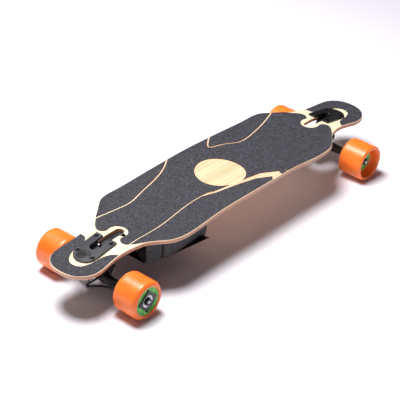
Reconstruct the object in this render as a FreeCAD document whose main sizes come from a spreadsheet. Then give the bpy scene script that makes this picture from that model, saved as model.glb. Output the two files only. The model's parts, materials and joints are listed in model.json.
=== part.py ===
"""Electric longboard with a cambered drop-through deck and two hub motors.

Frame: +X runs forward to the nose, +Y to the rider's left, +Z up, in millimetres.
The origin is on the ground under the middle of the board.
"""
import FreeCAD, Part
import math
import os
import Sketcher
from FreeCAD import Placement, Rotation, Vector

SIZES = [
    # wheels and trucks
    ("wheelbase", 755.0, "front axle to rear axle"),
    ("wheel_dia", 85.0, "over the urethane"),
    ("wheel_wide", 62.0, "tread and lips together"),
    ("wheel_track", 218.0, "middle of one wheel to middle of the other"),
    ("axle_dia", 8.0, "axle shaft"),
    ("bearing_dia", 22.0, "outside of a skate bearing"),
    ("bearing_wide", 7.0, "width of a skate bearing"),
    ("hub_bearing_dia", 28.0, "outside of the bearing in a driven wheel's face"),
    ("mount_tilt", 9.5, "slope of the truck seats, down towards the tips, in degrees"),
    ("steer_angle", 40.5, "steering axis above the ground, in degrees"),
    ("truck_rise", 65.0, "axle to the deck's top in the middle of the bolts"),
    ("bolt_offset", 9.7, "axle to the middle of the bolts, towards the tip"),
    ("bolt_long", 53.8, "mounting bolts along the board"),
    ("bolt_wide", 41.3, "mounting bolts across the board"),
    ("bolt_dia", 4.8, "mounting bolt shank"),
    ("plate_thick", 4.5, "baseplate flange"),
    ("plate_wide", 56.0, "baseplate flange across the board"),
    ("kingpin_dia", 9.5, "kingpin shank"),
    ("bushing_dia", 28.0, "urethane bushings"),
    ("axis_rake", 8.0, "steering axis above the axle, square to itself"),
    ("ring_reach", 24.0, "kingpin from the point over the axle, along the steering axis"),
    ("pivot_reach", 18.0, "pivot pin's seat from the point over the axle"),
    ("ring_thick", 10.0, "hanger ring between the bushings"),
    ("upper_bushing", 15.0, "height of the bushing on the board side"),
    ("lower_bushing", 17.0, "height of the bushing on the road side"),
    ("washer_thick", 1.5, "cupped washers"),
    # deck
    ("tip_overhang", 109.5, "axle to the tip of the deck"),
    ("shoulder_back", 125.5, "axle to the wide shoulder of the deck"),
    ("deck_wide", 219.0, "deck across its shoulders"),
    ("neck_wide", 109.0, "deck beside the wheels"),
    ("tip_wide", 115.0, "deck at the horseshoe ends"),
    ("deck_thick", 9.0, "deck, all plies together"),
    ("ply_thick", 1.4, "face ply on top and below"),
    ("camber", 4.0, "rise of the middle over the ends of the standing area"),
    ("concave", 10.7, "rise of the rails over the middle line"),
    ("slot_wide", 20.0, "kingpin slot across the board"),
    ("slot_back", 72.0, "axle to the round end of the kingpin slot"),
    ("window_long", 40.0, "drop-through window along the board"),
    ("window_wide", 46.0, "drop-through window across the board"),
    ("grip_thick", 1.0, "grip tape"),
    ("grip_inset", 1.6, "bare edge outside the grip tape"),
    ("grip_gap", 3.0, "bare lines between the pieces of grip tape"),
    ("disc_dia", 112.0, "bare disc in the middle of the grip tape"),
    # battery and motor controller under the tail half
    ("tray_floor", 52.0, "underside of the battery tray above the ground"),
    ("tray_wide", 150.0, "battery tray across the board"),
    ("tray_long", 142.0, "battery tray along the board"),
    ("tray_wall", 3.0, "wall of the tray and of the controller housing"),
    ("tray_back", 118.0, "rear axle to the near end of the battery tray"),
    ("housing_back", 77.0, "rear axle to the end face of the controller housing"),
    ("gasket_thick", 2.0, "foam seal between the tray and the deck"),
    ("bracket_thick", 3.0, "bracket plate over the controller housing"),
    ("cell_dia", 18.4, "battery cell"),
    ("cell_long", 65.0, "battery cell"),
    ("button_dia", 12.0, "power button"),
    ("button_travel", 1.0, "power button"),
    ("socket_dia", 16.0, "charging socket flange"),
    # clearances
    ("slack", 0.1, "between pieces that are put together and stay still"),
    ("running", 0.35, "between pieces that move past each other"),
]


class Size:
    """A number together with the formula that the document keeps for it."""

    def __init__(self, value, formula):
        self.value = value
        self.formula = formula

    def combine(self, other, sign, value, first=True):
        text = other.formula if isinstance(other, Size) else repr(other)
        left, right = (self.formula, text) if first else (text, self.formula)
        return Size(value, f"({left} {sign} {right})")

    def __add__(self, other):
        return self.combine(other, "+", self.value + number(other))

    def __radd__(self, other):
        return self.combine(other, "+", self.value + other, first=False)

    def __sub__(self, other):
        return self.combine(other, "-", self.value - number(other))

    def __rsub__(self, other):
        return self.combine(other, "-", other - self.value, first=False)

    def __mul__(self, other):
        return self.combine(other, "*", self.value * number(other))

    def __truediv__(self, other):
        return self.combine(other, "/", self.value / number(other))


def number(size):
    return size.value if isinstance(size, Size) else float(size)


def vec(x, y, z):
    return Vector(number(x), number(y), number(z))


doc = FreeCAD.newDocument("electric_skateboard")
sheet = doc.addObject("Spreadsheet::Sheet", "Sizes")
for row, (alias, value, note) in enumerate(SIZES, start=1):
    sheet.set(f"A{row}", alias)
    sheet.set(f"B{row}", str(value))
    sheet.set(f"C{row}", note)
    sheet.setAlias(f"B{row}", alias)
doc.recompute()
S = {alias: Size(float(sheet.get(alias)), f"Sizes.{alias}") for alias, _, _ in SIZES}
NODES = {}

X_AXIS = Vector(1, 0, 0)
Y_AXIS = Vector(0, 1, 0)
Z_AXIS = Vector(0, 0, 1)
HERE = Placement()

AXLE_X = S["wheelbase"] / 2
AXLE_Z = S["wheel_dia"] / 2
HALF_LONG = AXLE_X + S["tip_overhang"]
HALF_WIDE = S["deck_wide"] / 2
BOLT_Z = AXLE_Z + S["truck_rise"]
SLOPE = math.tan(math.radians(number(S["mount_tilt"])))


# ---------------------------------------------------------------- document helpers


def bind(item, prop, size):
    """Give a property its number, and its formula if it has one."""
    setattr(item, prop, number(size))
    if isinstance(size, Size):
        item.setExpression(prop, size.formula)


def node(item, name):
    """Name a finished sub-part, which is then written to a file of that name."""
    item.Label = name
    NODES[name] = item
    return item


def turned(start, direction):
    """Placement that puts the local Z axis along a direction, from a start point."""
    return Placement(start, Rotation(Z_AXIS, direction))


def cylinder(radius, height, start, direction=Z_AXIS, frame=HERE):
    item = doc.addObject("Part::Cylinder", "cylinder")
    bind(item, "Radius", radius)
    bind(item, "Height", height)
    item.Placement = frame.multiply(turned(start, direction))
    return item


def cone(radius1, radius2, height, start, direction=Z_AXIS, frame=HERE):
    item = doc.addObject("Part::Cone", "cone")
    bind(item, "Radius1", radius1)
    bind(item, "Radius2", radius2)
    bind(item, "Height", height)
    item.Placement = frame.multiply(turned(start, direction))
    return item


def ball(radius, centre, frame=HERE):
    item = doc.addObject("Part::Sphere", "ball")
    bind(item, "Radius", radius)
    item.Placement = frame.multiply(Placement(centre, Rotation()))
    return item


def block(length, width, height, low_corner, frame=HERE):
    item = doc.addObject("Part::Box", "block")
    bind(item, "Length", length)
    bind(item, "Width", width)
    bind(item, "Height", height)
    item.Placement = frame.multiply(Placement(low_corner, Rotation()))
    return item


def hexagon(flats, height, start, direction=Z_AXIS, frame=HERE):
    """Hexagonal prism; flats is the size across its flats."""
    item = doc.addObject("Part::Prism", "hexagon")
    item.Polygon = 6
    bind(item, "Circumradius", flats / math.sqrt(3))
    bind(item, "Height", height)
    item.Placement = frame.multiply(turned(start, direction))
    return item


def joined(items):
    item = doc.addObject("Part::MultiFuse", "joined")
    item.Shapes = items
    return item


def cut(base, tools):
    """Base with every tool taken out of it."""
    item = base
    for tool in tools:
        step = doc.addObject("Part::Cut", "cut")
        step.Base = item
        step.Tool = tool
        item = step
    return item


def polygon_sketch(body, role, corners):
    """Closed outline of straight sides, each corner held by its own two sizes."""
    sketch = body.newObject("Sketcher::SketchObject", "outline")
    plane = next(f for f in body.Origin.OriginFeatures if f.Role == role)
    sketch.AttachmentSupport = [(plane, "")]
    sketch.MapMode = "FlatFace"
    points = [Vector(number(a), number(b), 0) for a, b in corners]
    sides = [Part.LineSegment(p, q) for p, q in zip(points, points[1:] + points[:1])]
    sketch.addGeometry(sides, False)
    for i in range(len(points)):
        before = (i - 1) % len(points)
        sketch.addConstraint(Sketcher.Constraint("Coincident", before, 2, i, 1))
    for i in range(len(points)):
        for kind, axis, size in (("DistanceX", -2, corners[i][0]), ("DistanceY", -1, corners[i][1])):
            if abs(number(size)) < 1e-9:
                sketch.addConstraint(Sketcher.Constraint("PointOnObject", i, 1, axis))
                continue
            ends = (-1, 1, i, 1) if number(size) > 0 else (i, 1, -1, 1)
            made = sketch.addConstraint(Sketcher.Constraint(kind, *ends, abs(number(size))))
            if isinstance(size, Size):
                formula = size.formula if number(size) > 0 else f"-({size.formula})"
                sketch.setExpression(f"Constraints[{made}]", formula)
    return sketch


def turning(name, profile, start, direction=Z_AXIS, frame=HERE):
    """Body turned about its own Z axis from a closed profile of (radius, height) corners."""
    body = doc.addObject("PartDesign::Body", name)
    sketch = polygon_sketch(body, "XZ_Plane", profile)
    turn = body.newObject("PartDesign::Revolution", "turn")
    turn.Profile = sketch
    turn.ReferenceAxis = (sketch, ["V_Axis"])
    turn.Angle = 360.0
    body.Placement = frame.multiply(turned(start, direction))
    return body


def plate(name, role, corners, thickness, frame=HERE):
    """Body padded evenly to both sides of one of its own planes."""
    body = doc.addObject("PartDesign::Body", name)
    sketch = polygon_sketch(body, role, corners)
    pad = body.newObject("PartDesign::Pad", "pad")
    pad.Profile = sketch
    bind(pad, "Length", thickness)
    pad.Midplane = True
    body.Placement = frame
    return body


def feature(name, shape):
    """Sub-part whose shape is worked out by functions of the sheet's sizes."""
    item = doc.addObject("Part::Feature", name)
    item.Shape = shape
    item.Placement = Placement()
    return node(item, name)


def copies(name, master, placements):
    """Node that holds separate solids, one copy of the master at each placement."""
    doc.recompute()
    shapes = []
    for place in placements:
        shape = master.Shape.copy()
        shape.Placement = place.multiply(shape.Placement)
        shapes.append(shape)
    return feature(name, Part.makeCompound(shapes))


# ---------------------------------------------------------------- deck


def soft_step(distance, softness=6.0):
    """Zero before a line and the distance past it, with a soft corner of the given size."""
    return softness * math.log1p(math.exp(distance / softness))


BEND_X = number(AXLE_X) * 0.9147
STANDING_Z = number(BOLT_Z) + SLOPE * (number(AXLE_X + S["bolt_offset"]) - BEND_X)
CAMBER_X = number(AXLE_X) * 0.64
TIP_BEND_X = number(HALF_LONG) - 55.0
TIP_LIFT = 0.19
# share of the half wheelbase, share of the concave
CONCAVE_SHARES = [(0.0, 1.0), (0.29, 1.0), (0.57, 0.55), (0.72, 0.68), (0.82, 1.12), (0.925, 0.0), (2.0, 0.0)]


def concave_at(x):
    """Rise of the rails over the middle line: deep under the feet, flared beside the wheels, then flat."""
    share = abs(x) / number(AXLE_X)
    for (x0, c0), (x1, c1) in zip(CONCAVE_SHARES, CONCAVE_SHARES[1:]):
        if share <= x1:
            part = (share - x0) / (x1 - x0)
            smooth = part * part * (3 - 2 * part)
            return number(S["concave"]) * (c0 + (c1 - c0) * smooth)
    return 0.0


def deck_height(x, y):
    """Top of the deck: cambered middle, sloping seats under the trucks, lifted tips, raised rails."""
    reach = abs(x)
    wave = (1 + math.cos(math.pi * min(reach / CAMBER_X, 1.0))) / 2
    middle = STANDING_Z + number(S["camber"]) * wave
    middle -= SLOPE * soft_step(reach - BEND_X, 4.0)
    middle += TIP_LIFT * soft_step(reach - TIP_BEND_X)
    return middle + concave_at(x) * (y / number(HALF_WIDE)) ** 2


def deck_face():
    """One smooth face over the whole deck, a little larger than its outline."""
    reach_x = number(HALF_LONG) + 12.0
    reach_y = number(HALF_WIDE) + 8.0
    steps_x, steps_y = 100, 8
    grid = []
    for i in range(steps_x + 1):
        x = reach_x * (2 * i / steps_x - 1)
        row = [reach_y * (2 * j / steps_y - 1) for j in range(steps_y + 1)]
        grid.append([Vector(x, y, deck_height(x, y)) for y in row])
    surface = Part.BSplineSurface()
    surface.interpolate(grid)
    return surface.toShape()


DECK_FACE = deck_face()


def layer(top, bottom):
    """Solid between two heights over the deck's top face; both follow its curves."""
    face = DECK_FACE.copy()
    face.translate(Vector(0, 0, number(top)))
    return face.extrude(Vector(0, 0, number(bottom) - number(top)))


def spline(points, start=None, end=None):
    curve = Part.BSplineCurve()
    if start is None:
        curve.interpolate(Points=points)
    else:
        curve.interpolate(Points=points, InitialTangent=start, FinalTangent=end)
    return curve.toShape()


# where the deck narrows from its shoulder to its neck: share of the way, share of the narrowing
NECK_CURVE = [(0.105, 0.085), (0.226, 0.283), (0.361, 0.538), (0.481, 0.736), (0.624, 0.868), (0.789, 0.962)]
SHOULDER_DROP = 2.0
WAIST = 2.2


def quarter_outline(inset):
    """Points of the deck's outline from the middle of a rail to the tip, and inset from it."""
    shoulder = number(AXLE_X - S["shoulder_back"])
    half = number(HALF_WIDE)
    neck_x = number(AXLE_X) + 7.5
    neck = number(S["neck_wide"]) / 2
    tip = number(S["tip_wide"]) / 2
    end = number(HALF_LONG)
    points = [(0, half - 1.3), (0.56 * shoulder, half - WAIST), (0.89 * shoulder, half)]
    points.append((shoulder, half - SHOULDER_DROP))
    for along, narrowing in NECK_CURVE:
        x = shoulder + along * (neck_x - shoulder)
        points.append((x, half - SHOULDER_DROP - narrowing * (half - SHOULDER_DROP - neck)))
    bulge_x = end - 54.0
    points += [(neck_x, neck), ((neck_x + bulge_x) / 2, (neck + tip) / 2 + 0.4), (bulge_x, tip)]
    for part in (0.5, 0.79):
        x = bulge_x + part * (end - bulge_x)
        points.append((x, tip * math.sqrt(1 - part**2.2)))
    points = [Vector(x, y - inset, 0) for x, y in points]
    points.append(Vector(end - inset, 0, 0))
    return points


def deck_outline(inset=0.0):
    """Closed wire of the deck's outline in plan, alike in all four quarters."""
    points = quarter_outline(inset)
    quarter = spline(points, Vector(1, 0, 0), Vector(0, -1, 0))
    right = quarter.mirror(Vector(0, 0, 0), Y_AXIS)
    far = [edge.mirror(Vector(0, 0, 0), X_AXIS) for edge in (quarter, right)]
    return Part.Wire(Part.__sortEdges__([quarter, right, *far]))


SKY = 400.0


def column(wire):
    """Upright solid over a closed plan outline, from the ground to above the deck."""
    return Part.Face(wire).extrude(Vector(0, 0, SKY))


DECK_COLUMN = column(deck_outline())


def seat_frame(end):
    """Frame of a truck seat: origin between the bolts on the deck's top, +X along the slope to the tip."""
    x = number(AXLE_X + S["bolt_offset"])
    slope = Placement(Vector(x, 0, number(BOLT_Z)), Rotation(Y_AXIS, number(S["mount_tilt"])))
    return END_TURN[end].multiply(slope)


END_TURN = {
    "front": Placement(),
    "rear": Placement(Vector(), Rotation(Z_AXIS, 180)),
}
ENDS = ("front", "rear")


def bolt_spots():
    """Places of the four mounting bolts in the frame of a truck seat."""
    along = number(S["bolt_long"]) / 2
    across = number(S["bolt_wide"]) / 2
    return [Vector(x, y, 0) for x in (-along, along) for y in (-across, across)]


def round_bar(radius, start, direction, length):
    return Part.makeCylinder(number(radius), number(length), start, direction)


def deck_openings():
    """Windows, kingpin slots and bolt holes, as solids to take out of the deck."""
    tools = []
    half_slot = number(S["slot_wide"]) / 2
    window_long = number(S["window_long"])
    window_wide = number(S["window_wide"])
    slot_x = number(AXLE_X - S["slot_back"]) + half_slot
    slot_long = number(S["slot_back"] + S["bolt_offset"]) - half_slot
    for end in ENDS:
        window = Part.makeBox(window_long, window_wide, 120, Vector(-window_long / 2, -window_wide / 2, -60))
        window.Placement = seat_frame(end)
        slot = Part.makeBox(slot_long, 2 * half_slot, SKY, Vector(slot_x, -half_slot, 0))
        slot_end = Part.makeCylinder(half_slot, SKY, Vector(slot_x, 0, 0))
        keyhole = slot.fuse(slot_end)
        keyhole.Placement = END_TURN[end]
        tools.append(window.fuse(keyhole))
        for spot in bolt_spots():
            hole = round_bar(S["bolt_dia"] / 2 + S["slack"], Vector(0, 0, -60), Z_AXIS, 120)
            hole.Placement = seat_frame(end).multiply(Placement(spot, Rotation(Z_AXIS, 45)))
            tools.append(hole)
    return tools


# the flange ends this far behind the inner bolts, and its round end is centred this far inside the outer ones
PLATE_BACK = 9.0
PLATE_ROUND = 5.1
RECESS_GAP = 0.5
SCREW_RADIUS = 2.0
SCREW_HEAD_RADIUS = 3.9
SCREW_GRIP = 7.0


def tray_middle_x():
    return -number(AXLE_X - S["tray_back"] - S["tray_long"] / 2)


def screw_spots():
    """Plan places of the tray's screws, four along each side."""
    y = number(S["tray_wide"]) / 2 + 5.5
    spacing = number(S["tray_long"]) / 3.6
    middle = tray_middle_x()
    return [(middle + (k - 1.5) * spacing, side * y) for side in (-1, 1) for k in range(4)]


def screw_holes():
    """Pilot holes of the tray's and the bracket's screws, up into the deck's underside."""
    holes = []
    for x, y in screw_spots() + bracket_spots():
        under = deck_height(x, y) - number(S["deck_thick"])
        radius = SCREW_RADIUS + number(S["slack"])
        holes.append(round_bar(radius, Vector(x, y, under - 12), Z_AXIS, 12 + SCREW_GRIP + 0.5))
    return holes


def plate_recesses():
    """Space over each truck seat, as wide as the flange, so that the flat flange beds on a flat seat."""
    recesses = []
    half = number(S["plate_wide"]) / 2 + RECESS_GAP
    start = -number(S["bolt_long"]) / 2 - PLATE_BACK
    round_x = number(S["bolt_long"]) / 2 - PLATE_ROUND
    for end in ENDS:
        recess = Part.makeBox(round_x - start, 2 * half, 30, Vector(start, -half, 0))
        recess = recess.fuse(Part.makeCylinder(half, 30, Vector(round_x, 0, 0)))
        recess.Placement = seat_frame(end)
        recesses.append(recess)
    return recesses


def build_deck():
    openings = deck_openings()
    holes = screw_holes()
    recesses = plate_recesses()
    ply = S["ply_thick"]
    thick = S["deck_thick"]
    bounds = (
        ("deck_top_ply", 0.0, 0 - ply),
        ("deck_core", 0 - ply, ply - thick),
        ("deck_bottom_ply", ply - thick, 0 - thick),
    )
    for name, top, bottom in bounds:
        shape = layer(top, bottom).common(DECK_COLUMN)
        for tools in (recesses, openings, holes):
            shape = shape.cut(tools)
        feature(name, shape)


def arc_strip(points, width):
    """Upright wall of even width that follows a smooth plan line through the points."""
    curve = Part.BSplineCurve()
    curve.interpolate(Points=points)
    steps = 6 * len(points)
    first, last = curve.FirstParameter, curve.LastParameter
    sides = ([], [])
    for i in range(steps + 1):
        u = first + (last - first) * i / steps
        tangent = curve.tangent(u)[0]
        across = Vector(-tangent.y, tangent.x, 0).multiply(width / 2)
        sides[0].append(curve.value(u) + across)
        sides[1].append(curve.value(u) - across)
    edges = [spline(sides[0]), Part.makeLine(sides[0][-1], sides[1][-1])]
    edges += [spline(sides[1][::-1]), Part.makeLine(sides[1][0], sides[0][0])]
    return column(Part.Wire(edges))


def plan_point(along, across):
    """Plan point from shares of the half wheelbase and of the half width."""
    return Vector(along * number(AXLE_X), across * number(HALF_WIDE), 0)


# bare lines in the grip tape: shares of the half wheelbase and of the half width
GRIP_LINES = [
    [(-0.90, 0.62), (-0.84, 0.575), (-0.72, 0.54), (-0.59, 0.515), (-0.49, 0.59), (-0.33, 0.70),
     (-0.10, 1.10)],
    [(-0.95, -0.44), (-0.80, -0.435), (-0.65, -0.42), (-0.46, -0.335), (-0.28, -0.305), (-0.19, -0.35)],
    [(0.10, -0.445), (0.28, -0.81), (0.245, -1.05)],
    [(0.305, 1.08), (0.17, 0.83), (0.155, 0.77), (0.23, 0.66), (0.34, 0.51), (0.49, 0.55), (0.65, 0.68),
     (0.84, 0.90)],
]
GRIP_LINE_WIDTHS = (1.0, 1.0, 0.45, 1.0)
# wider bare wedge that leaves the disc towards the right rail and forks there
GRIP_WEDGE = [(-0.30, -0.275), (-0.15, -0.40), (0.01, -0.50), (0.15, -0.60), (0.235, -0.83), (0.19, -1.10),
              (0.09, -1.10), (0.155, -0.88), (0.08, -0.68), (-0.02, -0.575), (-0.19, -0.43)]


def neck_clearing():
    """Bare wood round the front truck: keyhole round the slot, both neck sides, and the space beyond."""
    axle = number(AXLE_X)
    slot = number(S["slot_wide"]) / 2
    margin = 10.0
    key = slot + margin
    key_x = axle - number(S["slot_back"]) + slot
    neck = number(S["neck_wide"]) / 2
    side = [Vector(axle - 70, neck + 25, 0), Vector(axle - 56, neck + 7, 0), Vector(axle - 43, neck - 4, 0)]
    side += [Vector(axle - 34, neck - 20, 0), Vector(axle - 38, key + 4, 0), Vector(key_x + 14, key, 0)]
    left = spline(side)
    right = left.mirror(Vector(0, 0, 0), Y_AXIS)
    lip_x = key_x + 14
    lip = Part.Arc(Vector(lip_x, key, 0), Vector(lip_x - key - 10, 0, 0), Vector(lip_x, -key, 0))
    far = 2 * axle
    corners = [Vector(axle - 70, -neck - 25, 0), Vector(axle - 70, -far, 0), Vector(far, -far, 0)]
    corners += [Vector(far, far, 0), Vector(axle - 70, far, 0), Vector(axle - 70, neck + 25, 0)]
    edges = [left, lip.toShape(), right]
    edges += [Part.makeLine(a, b) for a, b in zip(corners, corners[1:])]
    return column(Part.Wire(Part.__sortEdges__(edges)))


# inner edge of the horseshoe of grip tape, from left to right: distance past the axle, and share of
# the neck's half width
HORSESHOE = [(-3, 1.06), (-3.5, 0.88), (-2, 0.71), (4, 0.60), (14, 0.55), (28, 0.54), (42, 0.525),
             (62, 0.35), (73, 0.12), (74, -0.18), (67, -0.36), (57, -0.44), (48, -0.50), (20, -0.60),
             (4, -0.78), (-5, -1.06)]
HORSESHOE_BACK = 12.0


def horseshoe_clearing():
    """Space inside the horseshoe of grip tape at the front tip, open towards the middle of the board."""
    axle = number(AXLE_X)
    neck = number(S["neck_wide"]) / 2
    inner = [Vector(axle + past, share * neck, 0) for past, share in HORSESHOE]
    corners = [inner[-1], Vector(inner[-1].x, -3 * neck, 0), Vector(0, -3 * neck, 0), Vector(0, 3 * neck, 0)]
    corners += [Vector(inner[0].x, 3 * neck, 0), inner[0]]
    edges = [spline(inner)] + [Part.makeLine(a, b) for a, b in zip(corners, corners[1:])]
    return column(Part.Wire(Part.__sortEdges__(edges)))


def build_grip():
    sheet_of_grip = layer(S["grip_thick"], 0).common(column(deck_outline(number(S["grip_inset"]))))
    rear = Placement(Vector(), Rotation(Z_AXIS, 180))
    clearings = [neck_clearing(), neck_clearing()]
    clearings[1].Placement = rear
    disc = Part.makeCylinder(number(S["disc_dia"]) / 2, SKY)
    gap = number(S["grip_gap"])
    lines = []
    for line, share in zip(GRIP_LINES, GRIP_LINE_WIDTHS):
        lines.append(arc_strip([plan_point(*p) for p in line], gap * share))
    wedge_points = [plan_point(*p) for p in GRIP_WEDGE]
    wedge = column(Part.makePolygon(wedge_points + wedge_points[:1]))
    feature("grip_tape_main", sheet_of_grip.cut(clearings + [disc, wedge] + lines))
    long = 2 * number(HALF_LONG)
    wide = 4 * number(HALF_WIDE)
    tip = Part.makeBox(long, wide, SKY, Vector(number(AXLE_X) - HORSESHOE_BACK, -wide / 2, 0))
    clearing = horseshoe_clearing()
    feature("grip_tape_nose", sheet_of_grip.common(tip).cut(clearing))
    tail_tip = tip.mirror(Vector(0, 0, 0), X_AXIS)
    feature("grip_tape_tail", sheet_of_grip.common(tail_tip).cut(clearing.mirror(Vector(0, 0, 0), X_AXIS)))


# ---------------------------------------------------------------- trucks

RING_RADIUS = S["bushing_dia"] / 2 + 3.0
RING_HOLE = S["kingpin_dia"] / 2 + 3.3
PIN_RADIUS = 5.5
PIN_FIT = 0.08
CUP_RADIUS = 9.0
AXLE_TUBE = 11.0
UPPER_SEAT = S["ring_thick"] / 2 + S["upper_bushing"] + S["washer_thick"]
LOWER_SEAT = S["ring_thick"] / 2 + S["lower_bushing"] + S["washer_thick"]
KINGPIN_HEAD = 6.0
KINGPIN_NUT = 7.0
WEB_HALF = 12.0


def truck_frame(end):
    """Frame of a truck: origin at the middle of its axle, +X towards the tip of the deck."""
    return END_TURN[end].multiply(Placement(vec(AXLE_X, 0, AXLE_Z), Rotation()))


def steer_frame(end):
    """Frame of the steering axis: +X along it, up and out, with the axle under its origin."""
    tilt = Placement(Vector(), Rotation(Y_AXIS, -number(S["steer_angle"])))
    return truck_frame(end).multiply(tilt).multiply(Placement(vec(0, 0, S["axis_rake"]), Rotation()))


def in_truck(frame, point):
    """Point of another frame of the front truck, as (forward, up) from its axle."""
    moved = truck_frame("front").inverse().multVec(frame.multVec(point))
    return (moved.x, moved.z)


def build_baseplate(end):
    """Flange on the deck, block through the window, kingpin boss and pivot nose."""
    seat = seat_frame(end)
    steer = steer_frame(end)
    half_wide = S["plate_wide"] / 2
    start = -number(S["bolt_long"]) / 2 - PLATE_BACK
    round_x = number(S["bolt_long"]) / 2 - PLATE_ROUND
    corner = vec(start, 0 - half_wide, 0)
    flange = block(S["bolt_long"] + PLATE_BACK - PLATE_ROUND, S["plate_wide"], S["plate_thick"], corner, seat)
    round_end = cylinder(half_wide, S["plate_thick"], vec(round_x, 0, 0), Z_AXIS, seat)
    gap = 0.5
    deep = number(S["deck_thick"]) + 2.0
    block_long = S["window_long"] - 2 * gap
    block_wide = S["window_wide"] - 2 * gap
    body = block(block_long, block_wide, deep + 0.5, vec(0 - block_long / 2, 0 - block_wide / 2, -deep), seat)
    front_seat = seat_frame("front")
    front_steer = steer_frame("front")
    reach = number(S["ring_reach"])
    pivot = -number(S["pivot_reach"])
    up = number(UPPER_SEAT)
    edge = number(block_long) / 2
    mouth = pivot + 6.0
    back = pivot - 10.0
    under = -CUP_RADIUS - 2.0
    low = ((back, up), (back, under), (mouth, under), (mouth, up), (reach + 15, up))
    outline = [in_truck(front_seat, Vector(-edge, 0, 1 - deep))]
    outline += [in_truck(front_steer, Vector(x, 0, z)) for x, z in low]
    outline.append(in_truck(front_seat, Vector(edge, 0, 1 - deep)))
    web = plate(f"{end}_truck_web", "XZ_Plane", outline, 2 * (CUP_RADIUS + 4.0), truck_frame(end))
    casting = joined([flange, round_end, body, web])
    notch_half = 10.5
    notch_end = 9.8 - notch_half
    notch = block(notch_end + 40.0, 2 * notch_half, 20, vec(-40, -notch_half, -9), seat)
    notch_round = cylinder(notch_half, 20, vec(notch_end, 0, -9), Z_AXIS, seat)
    kingpin_fit = S["kingpin_dia"] / 2 + S["slack"] / 2
    kingpin_hole = cylinder(kingpin_fit, 40, vec(S["ring_reach"], 0, 10), Z_AXIS, steer)
    head_room = cylinder(9.5, 50, vec(S["ring_reach"], 0, UPPER_SEAT + 11), Z_AXIS, steer)
    cup_room = cylinder(CUP_RADIUS + S["slack"] / 2, 30, vec(pivot - 7.6, 0, 0), X_AXIS, steer)
    tools = [notch, notch_round, kingpin_hole, head_room, cup_room]
    for spot in bolt_spots():
        tools.append(cylinder(S["bolt_dia"] / 2 + S["slack"], 30, spot + Vector(0, 0, -10), Z_AXIS, seat))
        sink = spot + vec(0, 0, S["plate_thick"] - 2.7)
        tools.append(cone(S["bolt_dia"] / 2, 4.95, 2.75, sink, Z_AXIS, seat))
    return node(cut(casting, tools), f"{end}_baseplate")


def build_hanger(end, half_long, driven):
    """Hanger: ring round the kingpin, web, pivot pin, and an arm to each wheel; motor seats if driven."""
    steer = steer_frame(end)
    rake = S["axis_rake"]
    under_ring = vec(S["ring_reach"], 0, 0 - S["ring_thick"] / 2)
    ring = cylinder(RING_RADIUS, S["ring_thick"], under_ring, Z_AXIS, steer)
    web_low = vec(-6, -WEB_HALF, 0 - S["ring_thick"] / 2)
    web = block(S["ring_reach"] - 4, 2 * WEB_HALF, S["ring_thick"] - 1.5, web_low, steer)
    tube = cylinder(AXLE_TUBE, 44, vec(0, -22, 0 - rake), Y_AXIS, steer)
    boss = cone(10.0, 6.5, 9, vec(1, 0, 0), Vector(-1, 0, 0), steer)
    pin = cylinder(PIN_RADIUS, S["pivot_reach"], Vector(0, 0, 0), Vector(-1, 0, 0), steer)
    pin_end = ball(PIN_RADIUS, vec(0 - S["pivot_reach"], 0, 0), steer)
    pieces = [ring, web, tube, boss, pin, pin_end]
    arm_long = half_long - 20.0
    for side in (-1, 1):
        start = vec(0, side * 20, 0 - rake)
        pieces.append(cone(AXLE_TUBE, 8.5, arm_long, start, Vector(0, side, 0), steer))
        if driven:
            out = Vector(0, side, 0)
            cover_at = number(half_long) - MOTOR_COVER_THICK
            spigot_long = S["wheel_track"] / 2 + 16.5 - half_long + 1
            cover = vec(0, side * cover_at, 0 - rake)
            spigot = vec(0, side * (cover_at + 2), 0 - rake)
            pieces.append(cylinder(MOTOR_COVER, MOTOR_COVER_THICK, cover, out, steer))
            pieces.append(cylinder(SPIGOT, spigot_long, spigot, out, steer))
            ahead, up = BOOT_AT
            boot = vec(-ahead, side * (cover_at - BOOT_LONG), up)
            pieces.append(cylinder(BOOT_RADIUS, BOOT_LONG + 1, boot, out, truck_frame(end)))
    body = joined(pieces)
    bore = cylinder(S["axle_dia"] / 2 + S["slack"] / 2, 400, vec(0, -200, 0 - rake), Y_AXIS, steer)
    hole = cylinder(RING_HOLE, 60, vec(S["ring_reach"], 0, -30), Z_AXIS, steer)
    bushing_room = cylinder(S["bushing_dia"] / 2 + S["running"], 30, under_ring, Vector(0, 0, -1), steer)
    return node(cut(body, [bore, hole, bushing_room]), f"{end}_hanger")


MOTOR_COVER = 28.0
MOTOR_COVER_THICK = 3.0
SPIGOT = 12.0
# the boot that a motor cable leaves by: ahead of the rear axle and above it, and its size
BOOT_AT = (-20.5, 3.0)
BOOT_RADIUS = 5.0
BOOT_LONG = 13.0


def build_bushings(end):
    """Two urethane bushings that hold the hanger ring between the baseplate and the washer."""
    steer = steer_frame(end)
    hole = S["kingpin_dia"] / 2 + S["running"]
    radius = S["bushing_dia"] / 2
    height = S["upper_bushing"]
    barrel = [(hole, 0), (radius - 1, 0), (radius, 1.5), (radius, height - 1.5), (radius - 1, height),
              (hole, height)]
    start = vec(S["ring_reach"], 0, S["ring_thick"] / 2)
    upper = turning(f"{end}_upper_bushing", barrel, start, Z_AXIS, steer)
    height = S["lower_bushing"]
    conical = [(hole, 0), (radius - 1, 0), (radius, 1.5), (radius - 3.5, height), (hole, height)]
    start = vec(S["ring_reach"], 0, 0 - S["ring_thick"] / 2)
    lower = turning(f"{end}_lower_bushing", conical, start, Vector(0, 0, -1), steer)
    node(upper, f"{end}_upper_bushing")
    node(lower, f"{end}_lower_bushing")


def on_steer(end, height, direction=Z_AXIS):
    """Placement on the kingpin's line, at a height over the middle of the hanger ring."""
    return steer_frame(end).multiply(turned(vec(S["ring_reach"], 0, height), direction))


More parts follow.
